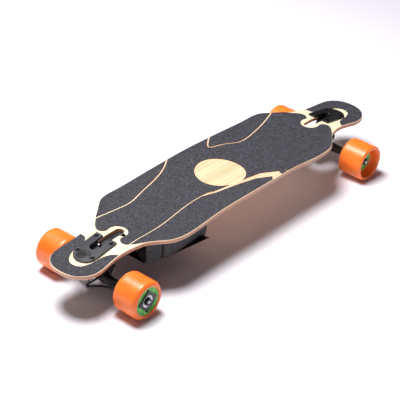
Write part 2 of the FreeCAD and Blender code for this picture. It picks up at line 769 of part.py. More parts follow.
def build_truck_fasteners():
    """Kingpins, their nuts and washers, pivot cups, mounting bolts and nuts: alike at both ends."""
    shank = S["kingpin_dia"] / 2
    tip = LOWER_SEAT + KINGPIN_NUT + 2.0
    top = UPPER_SEAT + 11.5
    long = tip + top
    socket = 3.0
    kingpin = turning("kingpin", [(0, 0), (shank - 0.8, 0), (shank, 1), (shank, long), (8.5, long),
                                  (8.5, long + KINGPIN_HEAD - 1), (7.5, long + KINGPIN_HEAD),
                                  (socket, long + KINGPIN_HEAD), (socket, long + 2), (0, long + 2)], Vector())
    copies("kingpins", kingpin, [on_steer(end, 0 - tip) for end in ENDS])
    nut_low = 0 - LOWER_SEAT - KINGPIN_NUT
    nuts = []
    for end in ENDS:
        start = vec(S["ring_reach"], 0, nut_low)
        blank = hexagon(S["kingpin_dia"] * 1.5, KINGPIN_NUT, start, Z_AXIS, steer_frame(end))
        nuts.append(cut(blank, [cylinder(shank + S["slack"] / 2, 20, start - Vector(0, 0, 5), Z_AXIS,
                                         steer_frame(end))]))
    doc.recompute()
    feature("kingpin_nuts", Part.makeCompound([nut.Shape for nut in nuts]))
    rim = S["bushing_dia"] / 2 + 0.8
    thick = S["washer_thick"]
    hole = shank + S["slack"]
    washer = turning("washer", [(hole, 0), (rim, 0), (rim, thick), (hole, thick)], Vector())
    upper = [on_steer(end, UPPER_SEAT - thick) for end in ENDS]
    lower = [on_steer(end, 0 - LOWER_SEAT) for end in ENDS]
    copies("bushing_washers", washer, upper + lower)
    bore = PIN_RADIUS + PIN_FIT
    profile = [(0, 0), (CUP_RADIUS, 0), (CUP_RADIUS, 13), (bore, 13), (bore, 1.6), (0, 1.6)]
    cup = turning("cup", profile, Vector())
    start = vec(0 - S["pivot_reach"] - 7.5, 0, 0)
    copies("pivot_cups", cup, [steer_frame(end).multiply(turned(start, X_AXIS)) for end in ENDS])
    build_mount_bolts()


NUT_GAP = 0.05


def build_mount_bolts():
    shank = S["bolt_dia"] / 2
    under = S["deck_thick"] * math.cos(math.radians(number(S["mount_tilt"]))) + NUT_GAP
    nut = 4.5
    long = S["plate_thick"] + under + nut + 1.5
    bolt = turning("bolt", [(0, 1.3), (1.6, 1.3), (1.6, 0), (4.7, 0), (shank, 2.4), (shank, long), (0, long)],
                   Vector())
    hex_nut = cut(hexagon(8.0, nut, Vector()), [cylinder(shank + S["slack"] / 2, 20, Vector(0, 0, -5))])
    heads = []
    nuts = []
    for end in ENDS:
        for spot in bolt_spots():
            place = seat_frame(end)
            heads.append(place.multiply(turned(spot + vec(0, 0, S["plate_thick"]), Vector(0, 0, -1))))
            nuts.append(place.multiply(turned(spot - vec(0, 0, under), Vector(0, 0, -1))))
    copies("mount_bolts", bolt, heads)
    copies("mount_nuts", hex_nut, nuts)


def build_rear_cap():
    """Round cap with plain raised rings on the outer end of the rear baseplate."""
    profile = [(0, 0), (15, 0), (15, 0.7), (14, 1.3), (12, 1.3), (11, 0.8), (9.5, 0.8), (8.5, 1.3),
               (6.5, 1.3), (5.5, 0.8), (0, 0.8)]
    start = vec(S["bolt_long"] / 2 + 5, 0, S["plate_thick"])
    node(turning("rear_plate_cap", profile, start, Z_AXIS, seat_frame("rear")), "rear_plate_cap")


# ---------------------------------------------------------------- wheels

TREAD = S["wheel_dia"] / 2
HALF_TYRE = S["wheel_wide"] / 2
BEARING_SEAT = S["bearing_dia"] / 2
SIDES = (("left", 1), ("right", -1))
FREE_CORE = 24.5
FREE_MOUTH = 35.0
FREE_OUTER_FACE = 12.0
FREE_INNER_FACE = -18.0
DRIVEN_FACE = 28.5
SLEEVE = 31.5
SPIDER_HUB = 20.0
SPIDER_TIP = 28.0
NUT_HIGH = 6.0
THIN_NUT = 4.0


def wheel_frame(end, side):
    """Frame of a wheel: origin at its middle, +Z out along the axle."""
    x = number(AXLE_X) if end == "front" else -number(AXLE_X)
    place = vec(x, S["wheel_track"] / 2 * side, AXLE_Z)
    return Placement(place, Rotation(Z_AXIS, Vector(0, side, 0)))


def bearing(name, inner, outer, wide):
    groove = 0.5
    race = 1.7
    profile = [(inner, 0), (inner + race, 0), (inner + race, groove), (outer - race, groove)]
    profile += [(outer - race, 0), (outer, 0), (outer, wide), (outer - race, wide)]
    profile += [(outer - race, wide - groove), (inner + race, wide - groove), (inner + race, wide)]
    profile.append((inner, wide))
    return turning(name, profile, Vector())


def build_free_wheel(name, frame):
    """Front wheel: deep-lipped urethane on a nylon core with two bearings."""
    half = HALF_TYRE
    core = FREE_CORE
    tyre = [(core, FREE_INNER_FACE), (core + 6, 1 - half), (core + 7, 0 - half), (TREAD - 4, 0 - half),
            (TREAD, 4 - half), (TREAD, half - 4), (TREAD - 3, half), (FREE_MOUTH, half),
            (FREE_MOUTH - 2, half - 2), (core + 4, FREE_OUTER_FACE + 2), (core, FREE_OUTER_FACE)]
    node(turning(f"{name}_tyre", tyre, Vector(), Z_AXIS, frame), f"{name}_tyre")
    seat = BEARING_SEAT + S["slack"] / 2
    wide = S["bearing_wide"]
    bore = seat - 2
    rim = core - S["slack"] / 2
    low = FREE_INNER_FACE + 0.2
    high = FREE_OUTER_FACE - 0.2
    profile = [(seat, low), (rim, low), (rim, high), (seat, high), (seat, FREE_OUTER_FACE - wide - 0.2),
               (bore, FREE_OUTER_FACE - wide - 0.2), (bore, FREE_INNER_FACE + wide + 0.2),
               (seat, FREE_INNER_FACE + wide + 0.2)]
    blank = turning(f"{name}_hub", profile, Vector(), Z_AXIS, frame)
    holes = []
    for k in range(5):
        angle = 2 * math.pi * k / 5
        spot = Vector(17.8 * math.cos(angle), 17.8 * math.sin(angle), -40)
        holes.append(cylinder(3.2, 80, spot, Z_AXIS, frame))
    node(cut(blank, holes), f"{name}_core")
    ring = bearing(f"{name}_bearing", S["axle_dia"] / 2 + S["slack"] / 2, BEARING_SEAT, wide)
    places = [FREE_OUTER_FACE - number(wide), FREE_INNER_FACE]
    copies(f"{name}_bearings", ring, [frame.multiply(turned(Vector(0, 0, z), Z_AXIS)) for z in places])


def build_driven_wheel(name, frame):
    """Rear wheel: urethane on a core that slips over the motor's turning can, with a black drive spider."""
    half = HALF_TYRE
    tyre = [(SLEEVE, 1 - half), (SLEEVE + 1, 0 - half), (TREAD - 5, 0 - half), (TREAD, 6 - half),
            (TREAD, half - 6), (TREAD - 6, half), (SLEEVE + 1, half), (SLEEVE, half - 1)]
    node(turning(f"{name}_tyre", tyre, Vector(), Z_AXIS, frame), f"{name}_tyre")
    hub_seat = S["hub_bearing_dia"] / 2
    seat = hub_seat + S["slack"] / 2
    rim = SLEEVE - S["slack"] / 2
    inner = rim - 2
    disc_low = DRIVEN_FACE - S["bearing_wide"]
    low = 2 - half
    core = [(inner, low), (rim, low), (rim, DRIVEN_FACE), (seat, DRIVEN_FACE), (seat, disc_low),
            (inner, disc_low)]
    node(turning(f"{name}_core", core, Vector(), Z_AXIS, frame), f"{name}_core")
    can = inner - S["slack"]
    inside = can - 2.4
    end_high = disc_low - 0.2
    big_seat = 18.5
    mouth = big_seat + 0.05
    rotor = [(mouth, 4 - half), (can, 4 - half), (can, end_high), (9, end_high), (9, end_high - 2.6),
             (inside, end_high - 2.6), (inside, 11 - half), (mouth, 11 - half)]
    node(turning(f"{name}_rotor", rotor, Vector(), Z_AXIS, frame), f"{name}_rotor")
    axle_fit = S["axle_dia"] / 2 + S["slack"] / 2
    outer_ring = bearing(f"{name}_face_bearing", axle_fit, hub_seat, S["bearing_wide"])
    inner_ring = bearing(f"{name}_cover_bearing", SPIGOT + S["slack"] / 2, big_seat, 7)
    doc.recompute()
    shapes = []
    for ring, z in ((outer_ring, number(disc_low)), (inner_ring, 4 - number(half))):
        shape = ring.Shape.copy()
        shape.Placement = frame.multiply(turned(Vector(0, 0, z), Z_AXIS))
        shapes.append(shape)
    feature(f"{name}_bearings", Part.makeCompound(shapes))
    thick = 2.2
    ring_out = cylinder(SPIDER_HUB, thick, vec(0, 0, DRIVEN_FACE), Z_AXIS, frame)
    arms = []
    for k in range(4):
        turn = Placement(vec(0, 0, DRIVEN_FACE), Rotation(Z_AXIS, 90 * k))
        arms.append(block(SPIDER_TIP, 8.0, thick, Vector(0, -4, 0), frame.multiply(turn)))
    hole = cylinder(hub_seat, 20, vec(0, 0, DRIVEN_FACE - 5), Z_AXIS, frame)
    node(cut(joined([ring_out, *arms]), [hole]), f"{name}_spider")


def build_axle(end, tip):
    radius = S["axle_dia"] / 2
    half = S["wheel_track"] / 2 + tip
    frame = truck_frame(end)
    long = half * 2
    profile = [(0, 0), (radius - 1, 0), (radius, 1), (radius, long - 1), (radius - 1, long), (0, long)]
    node(turning(f"{end}_axle", profile, vec(0, 0 - half, 0), Y_AXIS, frame), f"{end}_axle")


def build_axle_nuts(end, face, flats, high, with_washers):
    """Lock nuts on both axle ends, and the thin washers on each side of the free bearings."""
    bore = S["axle_dia"] / 2 + S["slack"] / 2
    pieces = []
    for _, side in SIDES:
        frame = wheel_frame(end, side)
        start = face + (1.0 if with_washers else 0.0)
        blank = hexagon(flats, high, Vector(0, 0, start), Z_AXIS, frame)
        pieces.append(cut(blank, [cylinder(bore, 30, Vector(0, 0, start - 10), Z_AXIS, frame)]))
        if with_washers:
            for z in (face, FREE_INNER_FACE - 1.0):
                ring = [(bore, 0), (6.0, 0), (6.0, 1.0), (bore, 1.0)]
                pieces.append(turning(f"{end}_washer", ring, Vector(0, 0, z), Z_AXIS, frame))
    doc.recompute()
    feature(f"{end}_axle_nuts", Part.makeCompound([piece.Shape for piece in pieces]))


def build_motors():
    """Stators on the hanger's spigots, and the copper end turns on both faces of each."""
    stators = []
    windings = []
    stator = turning("stator", [(SPIGOT + 0.05, 0), (24.6, 0), (24.6, 24), (SPIGOT + 0.05, 24)], Vector())
    winding = turning("winding", [(14, 0), (23.5, 0), (23.5, 3.2), (21, 4.2), (16, 4.2), (14, 3.2)], Vector())
    doc.recompute()
    for _, side in SIDES:
        frame = wheel_frame("rear", side)
        shape = stator.Shape.copy()
        shape.Placement = frame.multiply(turned(Vector(0, 0, -13), Z_AXIS))
        stators.append(shape)
        for start, direction in ((11.0, Z_AXIS), (-13.0, Vector(0, 0, -1))):
            shape = winding.Shape.copy()
            shape.Placement = frame.multiply(turned(Vector(0, 0, start), direction))
            windings.append(shape)
    feature("motor_stators", Part.makeCompound(stators))
    feature("motor_windings", Part.makeCompound(windings))


def build_running_gear():
    for end in ENDS:
        build_baseplate(end)
        build_bushings(end)
    build_truck_fasteners()
    build_rear_cap()
    build_hanger("front", S["wheel_track"] / 2 + FREE_INNER_FACE - 1.0, False)
    build_hanger("rear", S["wheel_track"] / 2 - HALF_TYRE, True)
    build_axle("front", FREE_OUTER_FACE + NUT_HIGH + 2.0)
    build_axle("rear", DRIVEN_FACE + THIN_NUT + 0.5)
    build_axle_nuts("front", FREE_OUTER_FACE, 13.0, NUT_HIGH, True)
    build_axle_nuts("rear", DRIVEN_FACE, 15.0, THIN_NUT, False)
    build_motors()
    for side_name, side in SIDES:
        build_free_wheel(f"front_{side_name}", wheel_frame("front", side))
        build_driven_wheel(f"rear_{side_name}", wheel_frame("rear", side))


# ---------------------------------------------------------------- battery and controller

UNDER = 0 - S["deck_thick"]
SCREW_HEAD = 2.2
FLANGE_THICK = 3.0
FLANGE_WIDE = 11.0
HOUSING_FLOOR = 3.0
BOARD_THICK = 1.6
# the bracket's end and the end of its tongue under the kingpin slot, ahead of the rear axle
BRACKET_BEHIND = 33.0
TONGUE_BEHIND = 14.0


def upright(points, low, high, radius):
    """Upright solid over a plan polygon, with its standing edges rounded."""
    wire = Part.makePolygon([Vector(x, y, low) for x, y in points + points[:1]])
    solid = Part.Face(wire).extrude(Vector(0, 0, high - low))
    standing = [e for e in solid.Edges if abs(e.Vertexes[0].X - e.Vertexes[-1].X) < 1e-6
                and abs(e.Vertexes[0].Y - e.Vertexes[-1].Y) < 1e-6]
    return solid.makeFillet(radius, standing)


def tray_plan(out_x, out_y):
    """Rectangle of the battery tray, grown by so much along and across the board."""
    middle = tray_middle_x()
    half_x = number(S["tray_long"]) / 2 + out_x
    half_y = number(S["tray_wide"]) / 2 + out_y
    return [(middle - half_x, -half_y), (middle + half_x, -half_y), (middle + half_x, half_y),
            (middle - half_x, half_y)]


def from_rear(distance):
    """Place along the board, so far ahead of the rear axle."""
    return number(distance) - number(AXLE_X)


BUTTON_AHEAD = 146.0
BUTTON_UP = 22.0
LIGHT_RIM = 2.2
SOCKET_BACK = 36.0
# slope that takes off the tray's front lower edge
NOSE_LONG = 16.0
NOSE_HIGH = 20.0
SOCKET_UP = 24.0


def button_spot():
    """Middle of the power button on the tray's right wall."""
    return vec(from_rear(BUTTON_AHEAD), 0 - S["tray_wide"] / 2, S["tray_floor"] + BUTTON_UP)


def socket_spot():
    """Middle of the charging socket on the tray's left wall."""
    x = from_rear(S["tray_back"] + S["tray_long"]) - SOCKET_BACK
    return vec(x, S["tray_wide"] / 2, S["tray_floor"] + SOCKET_UP)


def tray_nose(inset):
    """Wedge to take off the tray's front lower edge, set in from its outer slope by so much."""
    front = from_rear(S["tray_back"] + S["tray_long"])
    floor = number(S["tray_floor"])
    slant = math.hypot(NOSE_LONG, NOSE_HIGH)
    back = NOSE_LONG + inset * slant / NOSE_HIGH
    high = NOSE_HIGH + inset * slant / NOSE_LONG
    wide = 2 * number(S["tray_wide"])
    corners = [Vector(front - back, -wide, floor), Vector(front, -wide, floor + high)]
    corners += [Vector(front + 50, -wide, floor + high), Vector(front + 50, -wide, floor - 50)]
    corners.append(Vector(front - back, -wide, floor - 50))
    return Part.Face(Part.makePolygon(corners + corners[:1])).extrude(Vector(0, 2 * wide, 0))


def build_tray():
    wall = number(S["tray_wall"])
    floor = number(S["tray_floor"])
    gasket = S["gasket_thick"]
    corner = 16.0
    outer = upright(tray_plan(0, 0), floor, SKY, corner)
    foot = [e for e in outer.Edges if e.BoundBox.ZMax < floor + 1e-3]
    outer = outer.makeFillet(5.0, foot).cut(tray_nose(0)).common(layer(UNDER - gasket, -90))
    inner = upright(tray_plan(-wall, -wall), floor + wall, SKY, corner - wall).cut(tray_nose(wall))
    flange_solid = upright(tray_plan(0, FLANGE_WIDE), 0, SKY, corner)
    flange = layer(UNDER - gasket, UNDER - gasket - FLANGE_THICK).common(flange_solid)
    socket = socket_spot()
    bores = [round_bar(S["button_dia"] / 2 + S["running"], button_spot() - Vector(0, 20, 0), Y_AXIS, 40)]
    bores.append(round_bar(S["socket_dia"] / 2 - 2 + S["slack"], socket - Vector(0, 20, 0), Y_AXIS, 40))
    holes = screw_holes()
    feature("battery_tray", outer.fuse(flange).cut([inner, *bores, *holes]))
    ring = layer(UNDER, UNDER - gasket).common(flange_solid)
    inside = upright(tray_plan(-wall - 3, -wall - 3), 0, SKY, corner - wall)
    feature("enclosure_gasket", ring.cut([inside, *holes]))


CELL_CAP = 0.7
CELL_GAP = 0.4
COLUMN_GAP = 3.0


def build_battery():
    """Cells lying across the board, as many as the tray holds each way, and the board over them."""
    wall = number(S["tray_wall"])
    pitch = number(S["cell_dia"]) + CELL_GAP
    radius = number(S["cell_dia"]) / 2
    long = number(S["cell_long"])
    column = long + CELL_CAP + COLUMN_GAP
    columns = int((number(S["tray_wide"]) - 2 * wall) / column)
    rows = int((number(S["tray_long"]) - 2 * wall - NOSE_LONG) / pitch)
    room = STANDING_Z - number(S["deck_thick"]) - number(S["tray_floor"]) - wall
    layers = int((room - 2 * BOARD_THICK) / pitch)
    profile = [(0, 0), (radius - 0.6, 0), (radius, 0.8), (radius, long - 0.8), (radius - 0.6, long),
               (3.5, long), (3.2, long + CELL_CAP), (0, long + CELL_CAP)]
    cell = turning("cell", profile, Vector())
    low = number(S["tray_floor"]) + wall + radius + 1.0
    places = []
    for level in range(layers):
        for k in range(columns):
            for row in range(rows):
                x = tray_middle_x() + (row - (rows - 1) / 2) * pitch
                y = (k - columns / 2) * column + COLUMN_GAP / 2
                places.append(turned(Vector(x, y, low + level * pitch), Y_AXIS))
    copies("battery_cells", cell, places)
    board_z = low + (layers - 1) * pitch + radius + 1.5
    board = block(S["tray_long"] * 0.7, S["tray_wide"] * 0.3, BOARD_THICK,
                  vec(tray_middle_x() - number(S["tray_long"]) * 0.35, 0 - S["tray_wide"] * 0.15, board_z))
    node(board, "battery_board")


def housing_plan(inset):
    """Plan of the controller housing, which follows the deck's narrowing towards the neck."""
    back = from_rear(S["housing_back"]) + inset
    front = from_rear(S["tray_back"]) - 1.0 - inset
    narrow = number(S["neck_wide"]) / 2 + 4.5 - inset
    wide = number(S["tray_wide"]) / 2 - 2.0 - inset
    return [(back, -narrow), (front, -wide), (front, wide), (back, narrow)]


def build_housing():
    wall = number(S["tray_wall"])
    floor = number(S["tray_floor"]) + HOUSING_FLOOR
    top = UNDER - S["bracket_thick"]
    outer = upright(housing_plan(0), floor, SKY, 5.0).common(layer(top, -90))
    inner = upright(housing_plan(wall), floor + wall, SKY, 3.0)
    fins = []
    back = from_rear(S["housing_back"])
    for k in range(-5, 6):
        groove = Part.makeBox(1.6, 3.0, 20, Vector(back - 0.2, k * 6.0 - 1.5, floor + 2))
        fins.append(groove)
    feature("esc_housing", outer.cut([inner, *fins]))
    front = from_rear(S["tray_back"]) - 3.0
    behind = from_rear(BRACKET_BEHIND)
    tongue = from_rear(TONGUE_BEHIND)
    narrow = number(S["neck_wide"]) / 2 - 2.5
    wide = number(S["tray_wide"]) / 2 + 9.0
    slot = number(S["slot_wide"]) / 2 + 3.0
    plan = [(behind, -narrow), (front, -wide), (front, wide), (behind, narrow)]
    plan += [(behind, slot), (tongue, slot), (tongue, -slot), (behind, -slot)]
    bracket = layer(UNDER, top).common(upright(plan, 0, SKY, 4.0))
    feature("esc_bracket", bracket.cut(bracket_screw_holes()))
    board = block(S["tray_back"] - S["housing_back"] - 12.0, S["neck_wide"] - 20.0, BOARD_THICK,
                  vec(from_rear(S["housing_back"] + 5.5), 10 - S["neck_wide"] / 2, floor + wall + 14))
    node(board, "esc_board")


def bracket_spots():
    """Plan places of the bracket's screws."""
    near = (from_rear(43.0), number(S["neck_wide"]) / 2 - 13.0)
    far = (from_rear(S["tray_back"]) - 11.0, number(S["tray_wide"]) / 2 + 2.5)
    return [(x, side * y) for x, y in (near, far) for side in (-1, 1)]


def bracket_screw_holes():
    radius = SCREW_RADIUS + number(S["slack"])
    return [round_bar(radius, Vector(x, y, 50), Z_AXIS, SKY) for x, y in bracket_spots()]


def head_gap(x, y):
    """How far an upright screw head keeps below the sloping flange, which falls towards its rim."""
    turns = [2 * math.pi * k / 12 for k in range(12)]
    reach = SCREW_HEAD_RADIUS + 0.1
    rim = [deck_height(x + reach * math.cos(a), y + reach * math.sin(a)) for a in turns]
    return deck_height(x, y) - min(rim) + 0.05


def build_screws():
    """Button-head screws that hold the tray and the bracket up to the deck."""
    long = 2.0 + FLANGE_THICK + SCREW_GRIP
    head = SCREW_HEAD_RADIUS
    profile = [(0, 1), (1.2, 1), (1.2, 0), (head - 0.9, 0), (head, 1.2), (head, SCREW_HEAD),
               (SCREW_RADIUS, SCREW_HEAD), (SCREW_RADIUS, long), (0, long)]
    screw = turning("screw", profile, Vector())
    places = []
    under_tray = S["gasket_thick"] + FLANGE_THICK
    for spots, clamped in ((screw_spots(), under_tray), (bracket_spots(), S["bracket_thick"])):
        for x, y in spots:
            z = deck_height(x, y) - number(S["deck_thick"] + clamped) - SCREW_HEAD - head_gap(x, y)
            places.append(Placement(Vector(x, y, z), Rotation()))
    copies("enclosure_screws", screw, places)


def build_button():
    spot = button_spot()
    radius = S["button_dia"] / 2
    proud = 1.4
    head = turning("power_button", [(0, 0), (radius - 0.8, 0), (radius, 0.8), (radius, 7.5), (0, 7.5)],
                   spot - Vector(0, proud, 0), Y_AXIS)
    node(head, "power_button")
    inner = radius + S["running"] + 0.1
    ring = turning("power_light", [(inner, 0), (inner + LIGHT_RIM - 0.4, 0), (inner + LIGHT_RIM, 0.5),
                                   (inner + LIGHT_RIM, 0.9), (inner, 0.9)], spot - Vector(0, 0.9, 0), Y_AXIS)
    node(ring, "power_light")


KNUCKLE = 2.0
CAP_THICK = 2.4
SOCKET_FLANGE = 2.0
BARREL_DEEP = 6.8
CAP_ARM = 6.0
EAR_GAP = 0.4
EAR_THICK = 2.0
EAR_EDGE = 1.8


def cap_hinge():
    """Middle of the charging cap's hinge, below the socket's flange."""
    out = SOCKET_FLANGE + 0.3 + KNUCKLE
    return socket_spot() + vec(0, out, 0 - S["socket_dia"] / 2 - 1.2 - KNUCKLE)


def build_charging():
    """Socket with two hinge ears and a pin, and the rubber cap that turns on the pin."""
    spot = socket_spot()
    hinge = cap_hinge()
    radius = S["socket_dia"] / 2
    flange = cylinder(radius, SOCKET_FLANGE, spot, Y_AXIS)
    barrel = cylinder(radius - 2, BARREL_DEEP + 0.5, spot + Vector(0, 0.5, 0), Vector(0, -1, 0))
    ears = []
    reach = hinge.y - spot.y + EAR_EDGE
    for side in (-1, 1):
        x = spot.x + side * (CAP_ARM / 2 + EAR_GAP + EAR_THICK / 2) - EAR_THICK / 2
        corner = Vector(x, spot.y, hinge.z - EAR_EDGE)
        ears.append(block(EAR_THICK, reach, 2 * EAR_EDGE, corner))
        ears.append(block(EAR_THICK, SOCKET_FLANGE, radius * 0.5 + 5.2, corner))
    pin = cylinder(0.9, 9.0, hinge - Vector(4.5, 0, 0), X_AXIS)
    mouth = spot + Vector(0, SOCKET_FLANGE, 0)
    bore = cylinder(4.0, SOCKET_FLANGE + BARREL_DEEP - 1.3, mouth, Vector(0, -1, 0))
    node(cut(joined([flange, barrel, *ears, pin]), [bore]), "charge_socket")
    face = SOCKET_FLANGE + 0.3
    disc = cylinder(radius, CAP_THICK, spot + Vector(0, face, 0), Y_AXIS)
    arm_corner = Vector(spot.x - CAP_ARM / 2, spot.y + face, hinge.z)
    arm = block(CAP_ARM, CAP_THICK, radius * 0.6 + 3.0, arm_corner)
    knuckle = cylinder(KNUCKLE, CAP_ARM, hinge - Vector(CAP_ARM / 2, 0, 0), X_AXIS)
    pin_room = cylinder(0.9 + 0.06, 20, hinge - Vector(10, 0, 0), X_AXIS)
    node(cut(joined([disc, arm, knuckle]), [pin_room]), "charge_cap")


PLUG_LONG = 12.0
PLUG_RADIUS = 6.0
CABLE_RADIUS = 2.4
CABLE_GAP = 1.1
# a motor cable from its plug, down past the kingpin and round a tight loop behind the axle to its boot:
# distance ahead of the rear axle, out, and above the axle
CABLE_ROUTE = [(65.0, 26.0, 35.5), (45.0, 27.0, 36.0), (22.0, 30.0, 33.0), (1.0, 31.0, 27.0),
               (-19.0, 30.0, 19.5), (-38.0, 25.0, 11.5), (-49.0, 17.0, 6.0), (-46.0, 16.0, -2.5),
               (-31.0, 25.0, -4.0), (-22.0, 42.0, -1.5), (-20.5, 60.0, 3.0)]


def tube_along(points, radius):
    """Round tube on straight runs joined by arcs as large as the shorter run allows."""
    edges = []
    at = points[0]
    for i in range(1, len(points) - 1):
        back = (points[i - 1] - points[i])
        ahead = (points[i + 1] - points[i])
        run = min(back.Length, ahead.Length)
        back.normalize()
        ahead.normalize()
        turn = math.pi - back.getAngle(ahead)
        reach = 0.45 * run
        bend = reach / math.tan(turn / 2)
        print("cable bend radius", round(bend, 1))
        start = points[i] + back * reach
        end = points[i] + ahead * reach
        middle_way = back + ahead
        middle_way.normalize()
        depth = bend / math.cos(turn / 2) - bend
        edges.append(Part.makeLine(at, start))
        edges.append(Part.Arc(start, points[i] + middle_way * depth, end).toShape())
        at = end
    edges.append(Part.makeLine(at, points[-1]))
    path = Part.Wire(edges)
    ring = Part.Wire(Part.makeCircle(radius, points[0], points[1] - points[0]))
    tube = path.makePipeShell([ring], True, True)
    straight = math.pi * radius**2 * path.Length
    print("tube volume over section times length", round(tube.Volume / straight, 4))
    return tube


def build_cables():
    plugs = []
    tubes = []
    back = from_rear(S["housing_back"])
    for _, side in SIDES:
        ahead, out, up = CABLE_ROUTE[0]
        tip = Vector(from_rear(ahead), side * out, number(AXLE_Z) + up)
        plugs.append(Part.makeCylinder(PLUG_RADIUS, back - tip.x, tip, X_AXIS))
        points = [Vector(from_rear(a), side * o, number(AXLE_Z) + z) for a, o, z in CABLE_ROUTE]
        points[0].x -= CABLE_GAP
        boot = number(S["wheel_track"] / 2 - HALF_TYRE) - MOTOR_COVER_THICK - BOOT_LONG
        points[-1].y = side * (boot - CABLE_GAP)
        tubes.append(tube_along(points, CABLE_RADIUS))
    feature("motor_plugs", Part.makeCompound(plugs))
    feature("motor_cables", Part.makeCompound(tubes))


def build_electrics():
    build_tray()
    build_battery()
    build_housing()
    build_screws()
    build_button()
    build_charging()
    build_cables()


# ---------------------------------------------------------------- check and write


def check_and_write():
    doc.recompute()
    failed = [item.Label for item in doc.Objects if "Invalid" in item.State or "Error" in item.State]
    if failed:
        raise RuntimeError(f"objects that failed: {failed}")
    os.makedirs("parts", exist_ok=True)
    for name, item in NODES.items():
        shape = item.Shape
        if shape.isNull() or not shape.isValid() or not shape.Solids:
            raise RuntimeError(f"{name} has no valid solid")
        shape.exportStep(f"parts/{name}.step")
    print(len(NODES), "nodes written")


build_deck()
build_grip()
build_running_gear()
build_electrics()
check_and_write()
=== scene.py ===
"""Looks of an electric longboard: drop-through deck, carving trucks, hub motors and a battery tray.

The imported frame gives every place. Lengths in this script are millimetres until a mesh is written in metres.
"""
import json
import math

import bmesh
import bpy
import numpy as np
from mathutils import Matrix, Vector


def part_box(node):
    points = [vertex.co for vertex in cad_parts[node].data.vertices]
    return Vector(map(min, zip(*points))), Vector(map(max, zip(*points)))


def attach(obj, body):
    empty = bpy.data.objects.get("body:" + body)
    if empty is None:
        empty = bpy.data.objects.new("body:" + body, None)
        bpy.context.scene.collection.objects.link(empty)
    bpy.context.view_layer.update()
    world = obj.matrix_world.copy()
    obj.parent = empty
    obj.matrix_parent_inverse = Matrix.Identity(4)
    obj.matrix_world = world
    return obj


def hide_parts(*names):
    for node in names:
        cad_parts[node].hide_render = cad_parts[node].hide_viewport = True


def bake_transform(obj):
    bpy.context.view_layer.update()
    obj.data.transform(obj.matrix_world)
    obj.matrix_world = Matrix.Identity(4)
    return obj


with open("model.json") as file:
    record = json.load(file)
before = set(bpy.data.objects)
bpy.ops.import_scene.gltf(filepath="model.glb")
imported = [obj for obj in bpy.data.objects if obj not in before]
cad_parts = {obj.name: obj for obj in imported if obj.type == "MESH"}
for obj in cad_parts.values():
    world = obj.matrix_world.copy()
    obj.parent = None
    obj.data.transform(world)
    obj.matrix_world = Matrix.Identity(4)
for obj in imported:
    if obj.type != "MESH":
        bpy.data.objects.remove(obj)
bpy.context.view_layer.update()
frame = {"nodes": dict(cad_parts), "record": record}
nodes = frame["nodes"]
MM = 0.001


def span(node):
    """Lowest and highest corner of a CAD node, in millimetres."""
    low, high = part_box(node)
    return np.array(low) / MM, np.array(high) / MM


def middle(node):
    low, high = span(node)
    return (low + high) / 2


AXLE_X = float(middle("front_axle")[0])
AXLE_Z = float(middle("front_axle")[2])
TRACK_HALF = float(middle("front_left_tyre")[1])
DECK_LOW, DECK_HIGH = span("deck_core")
ENDS = {"front": 1, "rear": -1}
SIDES = {"left": 1, "right": -1}
SEAT_DEGREES = 9.5  # slope of each truck's seat
SEAT_HIGH = 65.0  # height of the seat's middle over the axle
SEAT_BEYOND = 9.7  # how far the seat's middle lies past the axle, toward the tip
STEER_DEGREES = 40.5  # tilt of the steering axis
DECK_THICK = 9.0
HOUSING_BACK_HALF = 59.0  # half the controller housing's width at its back end
MERGE_DISTANCE = 0.004  # points of a CAD mesh this close are one point

# ---------------------------------------------------------------- materials


def linear(hex_colour, alpha=1.0):
    """sRGB hex colour as linear light: c / 12.92 in the darkest part, else ((c + 0.055) / 1.055) ^ 2.4."""
    channels = [int(hex_colour[i:i + 2], 16) / 255 for i in (1, 3, 5)]
    light = [c / 12.92 if c <= 0.04045 else ((c + 0.055) / 1.055) ** 2.4 for c in channels]
    return (*light, alpha)


def add(tree, kind, inputs=None, **settings):
    """Adds a node with its settings; inputs maps a socket to a value or to another node's output."""
    made = tree.nodes.new(kind)
    for key, value in settings.items():
        setattr(made, key, value)
    for key, value in (inputs or {}).items():
        if isinstance(value, bpy.types.NodeSocket):
            tree.links.new(value, made.inputs[key])
        else:
            made.inputs[key].default_value = value
    return made


def material(name, constants):
    """New material with one Principled shader; constants are set on the shader's own sockets."""
    made = bpy.data.materials.new(name)
    made.use_nodes = True
    tree = made.node_tree
    shader = tree.nodes["Principled BSDF"]
    for key, value in constants.items():
        shader.inputs[key].default_value = value
    made.diffuse_color = shader.inputs["Base Color"].default_value
    return made, tree, shader


def ramp(tree, factor, stops, interpolation="LINEAR"):
    """Colour ramp with (place, colour) stops."""
    made = add(tree, "ShaderNodeValToRGB", {"Fac": factor})
    elements = made.color_ramp.elements
    elements[0].position, elements[0].color = stops[0]
    elements[1].position, elements[1].color = stops[-1]
    for place, colour in stops[1:-1]:
        elements.new(place).color = colour
    made.color_ramp.interpolation = interpolation
    return made.outputs["Color"]


def scaled_place(tree, scale):
    """Object coordinates multiplied by repeats per metre along each axis."""
    place = add(tree, "ShaderNodeTexCoord").outputs["Object"]
    return add(tree, "ShaderNodeMapping", {"Vector": place, "Scale": scale}).outputs["Vector"]


def per_metre(size_mm):
    """Repeats per metre of a pattern that repeats every size_mm."""
    return 1000.0 / size_mm


def bumped(tree, shader, height, distance_mm, strength=1.0):
    bump = add(tree, "ShaderNodeBump", {"Height": height, "Strength": strength, "Distance": distance_mm * MM})
    tree.links.new(bump.outputs["Normal"], shader.inputs["Normal"])


